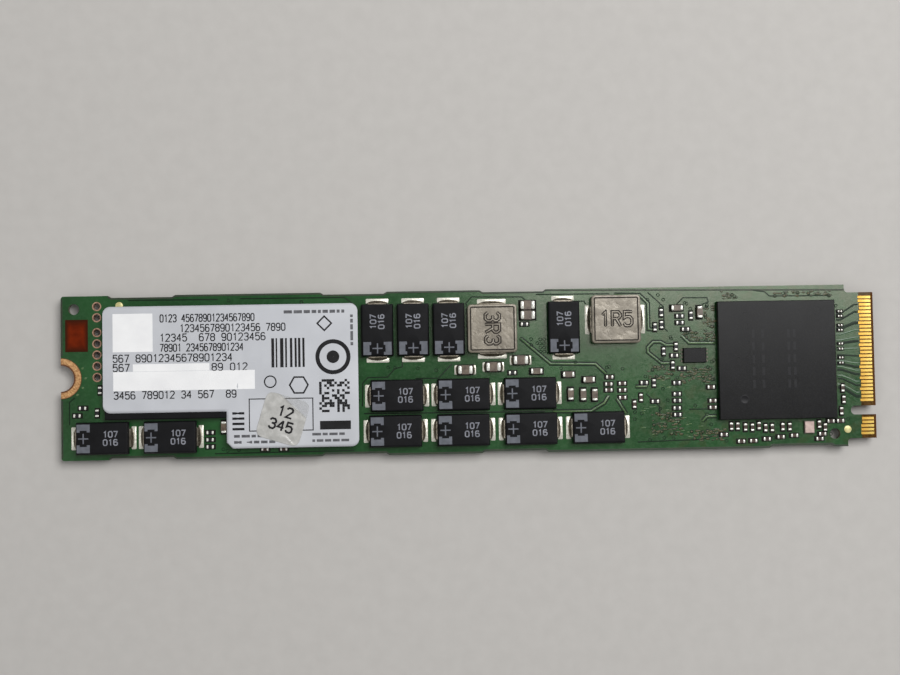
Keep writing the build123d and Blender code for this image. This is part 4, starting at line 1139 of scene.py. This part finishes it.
def corner_drop(distance):
    """How far a round corner takes the edge in, at a distance from the side: r - sqrt(r^2 - (r - d)^2)."""
    inward = np.clip(LABEL_CORNER - distance, 0, LABEL_CORNER)
    return LABEL_CORNER - np.sqrt(LABEL_CORNER ** 2 - inward ** 2)


def label_part(x, low, high, rows):
    """Rows of points from low(x) up to high(x), lying on the paper's upper face."""
    share = np.linspace(0, 1, rows)[:, None]
    y = low + (high - low) * share
    x = np.broadcast_to(x, y.shape)
    points = np.stack([x, y, label_height(x, y)], axis=-1)
    return points.reshape(-1, 3), grid_faces(*y.shape)


def thickened(piece, name, thickness):
    """Gives a sheet a wall below its face."""
    wall = piece.modifiers.new(name, "SOLIDIFY")
    wall.thickness = thickness * MM
    wall.offset = -1


left, right = label_low[0], label_high[0]
arc = LABEL_CORNER * (1 - np.cos(np.linspace(0, math.pi / 2, CORNER_STEPS)))
left_x = np.concatenate([left + arc, np.linspace(left + CORNER_CLEAR, LABEL_STEP, LEFT_COLUMNS)[:-1]])
torn_x = [LABEL_STEP, LABEL_STEP + TORN_CORNER / 2]
middle_x = np.linspace(LABEL_STEP + TORN_CORNER, right - CORNER_CLEAR, RIGHT_COLUMNS)
right_x = np.concatenate([torn_x, middle_x, right - arc[::-1]])
all_x = np.concatenate([left_x, right_x])
upper_edge = label_high[1] - corner_drop(all_x - left) - corner_drop(right - all_x)
shelf_edge = LABEL_SHELF + corner_drop(all_x - left)
torn = np.maximum(TORN_CORNER - (right_x - LABEL_STEP), 0)
lower_edge = label_low[1] + torn + corner_drop(right - right_x)
sheet = gathered([label_part(all_x, shelf_edge, upper_edge, UPPER_ROWS),
                  label_part(right_x, lower_edge, np.full(len(right_x), LABEL_SHELF), LOWER_ROWS)])
label_paper = mottled("label_paper", (188, 190, 195), (200, 202, 207), 6.0, (0.4, 0.5), depth=0.003, fine=0.2)
label = make_piece("label_sheet", sheet, label_paper, ["label"], closed=False)
thickened(label, "paper", PAPER_THICKNESS)

# %% [markdown]
# The label is printed with white fields, rows of counting digits, rows of small bars and a few plain
# figures. Print could be a texture, but a thin solid keeps a crisp edge from any side. The points of each
# solid are lifted onto the paper, so the print follows the sag and the droop.

# %% Print that lies on the label
LABEL_PRINT, PRINT_LIFT = 0.006, 0.001
PLATE_STEP = 1.0


def on_label(shape):
    """Lifts a thin shape, drawn from z = 0, onto the paper's upper face."""
    points, faces = shape
    height = label_height(points[:, 0], points[:, 1]) + PRINT_LIFT
    return np.column_stack([points[:, :2], points[:, 2] + height]), faces


def draped_plates(boxes):
    """Plates that bend with the paper: a level grid, and over it a grid lifted inside the same rim."""
    shells = []
    for left, bottom, right, top in boxes:
        x = np.linspace(left, right, int((right - left) / PLATE_STEP) + 2)
        y = np.linspace(bottom, top, int((top - bottom) / PLATE_STEP) + 2)
        level = np.stack([*np.meshgrid(x, y), np.zeros((len(y), len(x)))], axis=-1)
        upper = np.pad(level, ((1, 1), (1, 1), (0, 0)), mode="edge")
        upper[1:-1, 1:-1, 2] = LABEL_PRINT
        shells += [(grid.reshape(-1, 3), grid_faces(*grid.shape[:2])) for grid in (level, upper)]
    return gathered(shells)


white_boxes = [(-47.86, 3.38, -42.56, 8.48), (-45.21, 0.76, -35.06, 1.73), (-47.82, -1.80, -29.04, 0.73)]
label_white = mottled("label_white", (238, 238, 239), (248, 248, 248), 3.0, (0.4, 0.5), shine=0.2)
make_piece("white_fields", on_label(draped_plates(white_boxes)), label_white)

# %% Rows of counting digits
DIGIT_HEIGHT, DIGIT_LINE = 0.95, 0.15
digit_rows = [("0123 45678901234567890", -41.55, -29.06, 7.79),
              ("1234567890123456 7890", -38.9, -24.95, 6.43),
              ("12345  678 90123456", -41.57, -27.63, 5.2), ("78901 2345678901234", -41.58, -30.58, 3.86),
              ("567 89012345678901234", -47.82, -32.06, 2.5), ("567", -47.83, -45.7, 1.27),
              ("89 012", -34.71, -30.07, 1.2), ("3456 789012 34 567  89", -47.72, -31.58, -2.4)]
rows = [digits(text, DIGIT_HEIGHT, right - left, ((left + right) / 2, y, 0.0), DIGIT_LINE, 0.0, LABEL_PRINT)
        for text, left, right, y in digit_rows]
label_ink = mottled("label_ink", (16, 16, 18), (30, 30, 32), 1.0, (0.45, 0.6), shine=0.2)
make_piece("label_digits", on_label(gathered(rows)), label_ink)

# %% Rows of small bars
BAR_SEED, BAR_OFFERED, BAR_GAP = 5, 40, 0.22
BAR_SHORTEST, BAR_LONGEST = 0.35, 1.3
bar_draw = np.random.default_rng(BAR_SEED)


def bar_row(left, right, y, height):
    """Bars of uneven length with even gaps, from left to right."""
    lengths = bar_draw.uniform(BAR_SHORTEST, BAR_LONGEST, BAR_OFFERED)
    starts = left + np.cumsum(np.concatenate([[0], lengths[:-1] + BAR_GAP]))
    fits = starts + lengths < right
    starts, lengths = starts[fits], lengths[fits]
    low = np.full(len(starts), y - height / 2)
    return np.stack([starts, low, starts + lengths, low + height], axis=1)


small_rows = [(-25.1, -16.6, 8.4, 0.42), (-31.9, -26.7, -8.1, 0.36), (-31.9, -25.1, -8.9, 0.36),
              (-21.5, -16.1, -8.0, 0.34), (-21.5, -16.1, -8.85, 0.34)]
small_bars = np.concatenate([bar_row(*row) for row in small_rows])
SIDE_ROW = (3.8, 8.5, 16.05, 0.36)
side_bars = bar_row(*SIDE_ROW)
side_bars = np.stack([-side_bars[:, 3], side_bars[:, 0], -side_bars[:, 1], side_bars[:, 2]], axis=1)
faint_ink = mottled("faint_ink", (66, 66, 70), (98, 98, 102), 0.4, (0.45, 0.6))
make_piece("label_bars", on_label(plates(np.concatenate([small_bars, side_bars]), 0, LABEL_PRINT)), faint_ink)

# %% Stripes, cells and a panel
FIGURE_SEED = 23
STRIPE_LEFT, STRIPE_RIGHT, STRIPE_LOW, STRIPE_HIGH = -27.2, -21.8, 1.0, 4.9
STRIPE_THINNEST, STRIPE_WIDEST, STRIPE_OFFERED = 0.16, 0.5, 40
CELL, CELL_SHARE, CELL_GRID, CELL_FILL = 0.34, 0.98, (12, 13), 0.5
CELL_CORNER = np.array([-20.5, -5.1])
PANEL_LOW, PANEL_HIGH, PANEL_LINE = np.array([-29.83, -7.43]), np.array([-21.37, -3.17]), 0.14
PANEL_STEPS = 8
figure_draw = np.random.default_rng(FIGURE_SEED)
stripe_edges = np.cumsum(figure_draw.uniform(STRIPE_THINNEST, STRIPE_WIDEST, STRIPE_OFFERED)) + STRIPE_LEFT
stripe_edges = stripe_edges[stripe_edges < STRIPE_RIGHT]
stripe_edges = stripe_edges[:len(stripe_edges) // 2 * 2].reshape(-1, 2)
stripes = [(left, STRIPE_LOW, right, STRIPE_HIGH) for left, right in stripe_edges]
cells = CELL_CORNER + np.argwhere(figure_draw.random(CELL_GRID) < CELL_FILL) * CELL
matrix = np.concatenate([cells, cells + CELL * CELL_SHARE], axis=1)
panel_share = np.linspace(0, 1, PANEL_STEPS + 1)[:-1, None]
panel_corners = np.array([PANEL_LOW, (PANEL_HIGH[0], PANEL_LOW[1]),
                          PANEL_HIGH, (PANEL_LOW[0], PANEL_HIGH[1])])
panel_sides = np.roll(panel_corners, -1, axis=0) - panel_corners
panel_path = (panel_corners[:, None] + panel_sides[:, None] * panel_share).reshape(-1, 2)
half_side = PANEL_STEPS // 2
panel_path = np.concatenate([panel_path[half_side:], panel_path[:half_side + 1]])
print(f"{len(stripes)} stripes, {len(cells)} cells, a panel of {len(panel_path)} points")

# %% Plain figures on the label
BANDS = [((-18.6, 2.3), 2.35, 1.8, 48), ((-18.6, 2.3), 0.85, 0.02, 32), ((-23.2, -1.4), 1.35, 1.1, 6),
         ((-27.0, -0.9), 0.85, 0.68, 32), ((-19.7, 6.8), 1.1, 0.8, 4)]
RUNG_LEFT, RUNG_RIGHT, RUNG_HEIGHT, RUNG_ROWS = -32.1, -30.5, 0.32, (-7.3, -6.6, -5.9, -5.2)
SOLID_BAR = (-20.45, -7.4, -16.33, -6.25)


def band(centre, outer, inner, sides):
    """A flat ring or frame: a square profile turned about its centre with few or many sides."""
    profile = [(inner, 0), (outer, 0), (outer, LABEL_PRINT), (inner, LABEL_PRINT), (inner, 0)]
    return stamped(turned(profile, sides), [(*centre, 0.0)])


rungs = [(RUNG_LEFT, y, RUNG_RIGHT, y + RUNG_HEIGHT) for y in RUNG_ROWS]
figures = [plates(np.concatenate([matrix, rungs]), 0, LABEL_PRINT), draped_plates(stripes + [SOLID_BAR]),
           stroke(panel_path, PANEL_LINE, LABEL_PRINT, 0.0), *[band(*row) for row in BANDS]]
make_piece("label_figures", on_label(gathered(figures)), label_ink)

# %% [markdown]
# A small clear sticker lies across the label, crumpled. It is a sheet in polar form: rings from its middle
# out to a rounded square, lifted by creases. A crease is a ridge along a line: its height falls off in a
# bell curve beside the line and fades towards its ends. The film is milky with old glue, except at one
# corner. Two rows of digits are printed on it.

# %% How the film lies
CREASES = [((-0.2, -1.9), (1.5, -3.7), 0.09, 0.14), ((0.5, 2.6), (2.4, 0.5), 0.09, 0.2),
           ((2.2, 0.6), (3.9, -0.9), 0.09, 0.2), ((1.3, 0.9), (2.6, -1.6), 0.06, 0.2),
           ((2.3, -0.6), (3.3, -2.6), 0.06, 0.2), ((-2.6, 1.4), (0.4, 0.3), 0.035, 0.35),
           ((-2.4, -1.8), (0.6, -0.9), 0.035, 0.3)]
CREASE_FADE = 0.12
FILM_RIPPLE, FILM_WAVES = 0.008, ((2.1, 1.4), (-1.7, 3.3))
FILM_LIFT, DEEPEST_BASE = 0.025, 0.05
sticker_low, sticker_high = node_box("sticker")
sticker_centre = (sticker_low + sticker_high) / 2
print("sticker's centre", sticker_centre.round(2))


def crease(x, y, start, end, height, width):
    """Ridge over a line: height * exp(-(distance / width)^2), fading as sin towards both ends."""
    start, end = np.array(start), np.array(end)
    run = end - start
    share = ((x - start[0]) * run[0] + (y - start[1]) * run[1]) / (run @ run)
    share = np.clip(share, 0, 1)
    distance = np.hypot(x - start[0] - share * run[0], y - start[1] - share * run[1])
    fade = np.sin(math.pi * np.clip(share, CREASE_FADE, 1 - CREASE_FADE))
    return height * np.exp(-(distance / width) ** 2) * fade


def film_height(x, y):
    """Film's upper face at a place measured from the sticker's centre: the label's height plus creases."""
    lift = sum(crease(x, y, *line) for line in CREASES)
    ripple = FILM_RIPPLE * ripples(x, y, FILM_WAVES)
    paper = label_height(x + sticker_centre[0], y + sticker_centre[1])
    return np.maximum(paper, label_high[2] - DEEPEST_BASE) + FILM_LIFT + lift + ripple


# %% Milky film
CLEAR_WAY, CLEAR_DISTANCE, CLEAR_FADE = np.array([0.692, 0.722]), 2.15, 0.2
MILKY_ALPHA, CLEAR_ALPHA = 0.88, 0.12
MILK_GRAIN, CRUMPLE_GRAIN, CRUMPLE_DEPTH = 1.0, 0.5, 0.02
clear_film, tree, shader, place = new_finish("clear_film")
milk = cloud(tree, place, MILK_GRAIN)
across_film = vector_reckoned(tree, "DOT_PRODUCT", place, (*CLEAR_WAY, 0.0))
clear_start = float(sticker_centre[:2] @ CLEAR_WAY) + CLEAR_DISTANCE
alpha = ranged(tree, across_film, clear_start - CLEAR_FADE, clear_start + CLEAR_FADE,
               MILKY_ALPHA, CLEAR_ALPHA)
fill(tree, shader, {"Base Color": two_tones(tree, milk, (180, 179, 175), (208, 207, 203)),
                    "Roughness": wandering(tree, milk, 0.2, 0.32), "Alpha": alpha})
relief(tree, shader, cloud(tree, place, CRUMPLE_GRAIN), CRUMPLE_DEPTH)
print("film clears past", round(clear_start, 2), "mm along", CLEAR_WAY)

# %% Crumpled sticker
STICKER_TURN = math.radians(-17)
STICKER_HALF, SQUARENESS = (3.0, 3.1), 7
FILM_SIDES, FILM_RINGS = 96, 40
FILM_THICKNESS, FILM_CREASE = 0.012, 80


def on_film(shape, clear):
    """Turns a thin shape, drawn about the sticker's centre, and lifts it onto the film by a clearance."""
    points, faces = stamped(shape, [(0.0, 0.0, 0.0)], STICKER_TURN)
    height = film_height(points[:, 0], points[:, 1])
    return np.column_stack([points[:, :2] + sticker_centre[:2], points[:, 2] + height + clear]), faces


def squarer(wave):
    """A cosine or sine made squarer: its sign times its size to the power 2 / squareness."""
    return np.sign(wave) * np.abs(wave) ** (2 / SQUARENESS)


angle = np.arange(FILM_SIDES) * 2 * math.pi / FILM_SIDES
out = np.linspace(0, 1, FILM_RINGS)[:, None]
film_x = out * (STICKER_HALF[0] * squarer(np.cos(angle)))
film_y = out * (STICKER_HALF[1] * squarer(np.sin(angle)))
flat_film = np.stack([film_x, film_y, 0 * film_x], axis=-1).reshape(-1, 3)
film = on_film((flat_film, grid_faces(FILM_RINGS, FILM_SIDES, wrap=True)), 0.0)
sticker = make_piece("sticker_film", film, clear_film, ["sticker"], FILM_CREASE, closed=False)
thickened(sticker, "film", FILM_THICKNESS)

# %% Digits on the sticker
FILM_CLEAR = 0.03
FILM_DIGIT_HEIGHT, FILM_DIGIT_LINE = 1.3, 0.26
film_rows = [("12", 1.9, (0.1, 1.0, 0.0)), ("345", 3.1, (0.0, -0.9, 0.0))]
film_marks = gathered([digits(text, FILM_DIGIT_HEIGHT, width, centre, FILM_DIGIT_LINE, 0.0, LABEL_PRINT)
                       for text, width, centre in film_rows])
make_piece("sticker_digits", on_film(film_marks, FILM_CLEAR), label_ink)

# %% [markdown]
# By the screw a patch of red ink was rolled on. Its colour darkens towards the rim. How near a place lies
# to the rim is the larger of two shares: how far it lies from the patch's middle along the card and
# across it, each as a part of the half size.

# %% Ink patch by the screw
SMEAR_GRAIN, INK_SHINE, RIM_RANGE = 1.1, 0.06, (0.5, 1.0)
patch_low, patch_high = node_box("ink_patch")
patch_middle, patch_half = (patch_low + patch_high) / 2, (patch_high - patch_low) / 2
red_ink, tree, shader, place = new_finish("red_ink")
smear = cloud(tree, place, SMEAR_GRAIN)
centred = vector_reckoned(tree, "SUBTRACT", place, patch_middle.tolist())
shares = vector_reckoned(tree, "MULTIPLY", centred, (1 / patch_half[0], 1 / patch_half[1], 0.0))
share_axes = axes_of(tree, vector_reckoned(tree, "ABSOLUTE", shares))
rimward = reckoned(tree, "MAXIMUM", share_axes[0], share_axes[1])
full = two_tones(tree, smear, (88, 25, 2), (116, 36, 4))
fill(tree, shader, {"Base Color": mixed(tree, ranged(tree, rimward, *RIM_RANGE), full, ink(58, 22, 6)),
                    "Roughness": wandering(tree, smear, 0.4, 0.55), "Specular IOR Level": INK_SHINE})
dress(red_ink, "ink_patch")

# %% [markdown]
# The stage: a plain pale floor under the card, a soft box up and to the right, a weaker one from the left
# and an even pale world. Together they light a matt surface at about the level at which its colour shows as
# written.

# %% Floor
FLOOR_HALF = 900.0
floor_mesh = bpy.data.meshes.new("floor")
floor_points = np.array([(-1, -1, 0), (1, -1, 0), (1, 1, 0), (-1, 1, 0)]) * FLOOR_HALF * MM
floor_mesh.from_pydata(floor_points.tolist(), [], [(0, 1, 2, 3)])
floor_pale = mottled("floor_pale", (190, 187, 183), (194, 191, 187), 2.0, (0.6, 0.75), shine=0.1)
floor_mesh.materials.append(floor_pale)
floor = bpy.data.objects.new("floor", floor_mesh)
bpy.context.scene.collection.objects.link(floor)
print("floor of", 2 * FLOOR_HALF, "mm")


# %% Lights and world
def soft_box(name, place, aim, size, watts):
    """A square lamp at a place in millimetres, turned to face its aim."""
    lamp = bpy.data.lights.new(name, "AREA")
    lamp.size = size * MM
    lamp.energy = watts
    carrier = bpy.data.objects.new(name, lamp)
    way = np.array(place, float) - np.array(aim, float)
    flat = math.hypot(way[0], way[1])
    carrier.location = np.array(place) * MM
    carrier.rotation_euler = (math.atan2(flat, way[2]), 0.0, math.atan2(way[0], -way[1]))
    bpy.context.scene.collection.objects.link(carrier)
    print(f"{name}: {watts} W")


soft_box("key_lamp", place=(205, 198, 480), aim=(205, 198, 0), size=340, watts=2.65)
soft_box("fill_lamp", place=(-320, -60, 420), aim=(-20, 0, 0), size=320, watts=0.3)
SKY_LOW, SKY_HIGH, SKY_HIGH_AT = (0.2, 0.2, 0.2, 1.0), (0.3, 0.3, 0.3, 1.0), 0.9
world = bpy.data.worlds.new("studio")
world.use_nodes = True
sky = world.node_tree
height = axes_of(sky, add(sky, "TexCoord", {}).outputs["Generated"])[2]
fill(sky, sky.nodes["Background"], {"Color": tones(sky, height, [(0.0, SKY_LOW), (SKY_HIGH_AT, SKY_HIGH)])})
bpy.context.scene.world = world
bpy.context.scene.view_settings.view_transform = "Standard"

# %% [markdown]
# The camera stands almost straight above the card, a little to the left of its middle, as the photograph
# was taken. Its place and turn were found by matching the board's outline.

# %% Camera
CAMERA_X, CAMERA_Y, CAMERA_ABOVE_BOARD = -8.740, -3.077, 188.841
CAMERA_TURN = (0.041488, -0.030443, -0.017849)
LENS, SENSOR_WIDTH, CLIP_START = 56.0, 36.0, 0.01
camera_data = bpy.data.cameras.new("camera")
camera_data.lens = LENS
camera_data.sensor_width = SENSOR_WIDTH
camera_data.clip_start = CLIP_START
camera = bpy.data.objects.new("camera", camera_data)
camera.location = np.array([CAMERA_X, CAMERA_Y, CAMERA_ABOVE_BOARD + board_top]) * MM
camera.rotation_euler = CAMERA_TURN
bpy.context.scene.collection.objects.link(camera)
bpy.context.scene.camera = camera
print("camera at", [round(part / MM, 2) for part in camera.location])
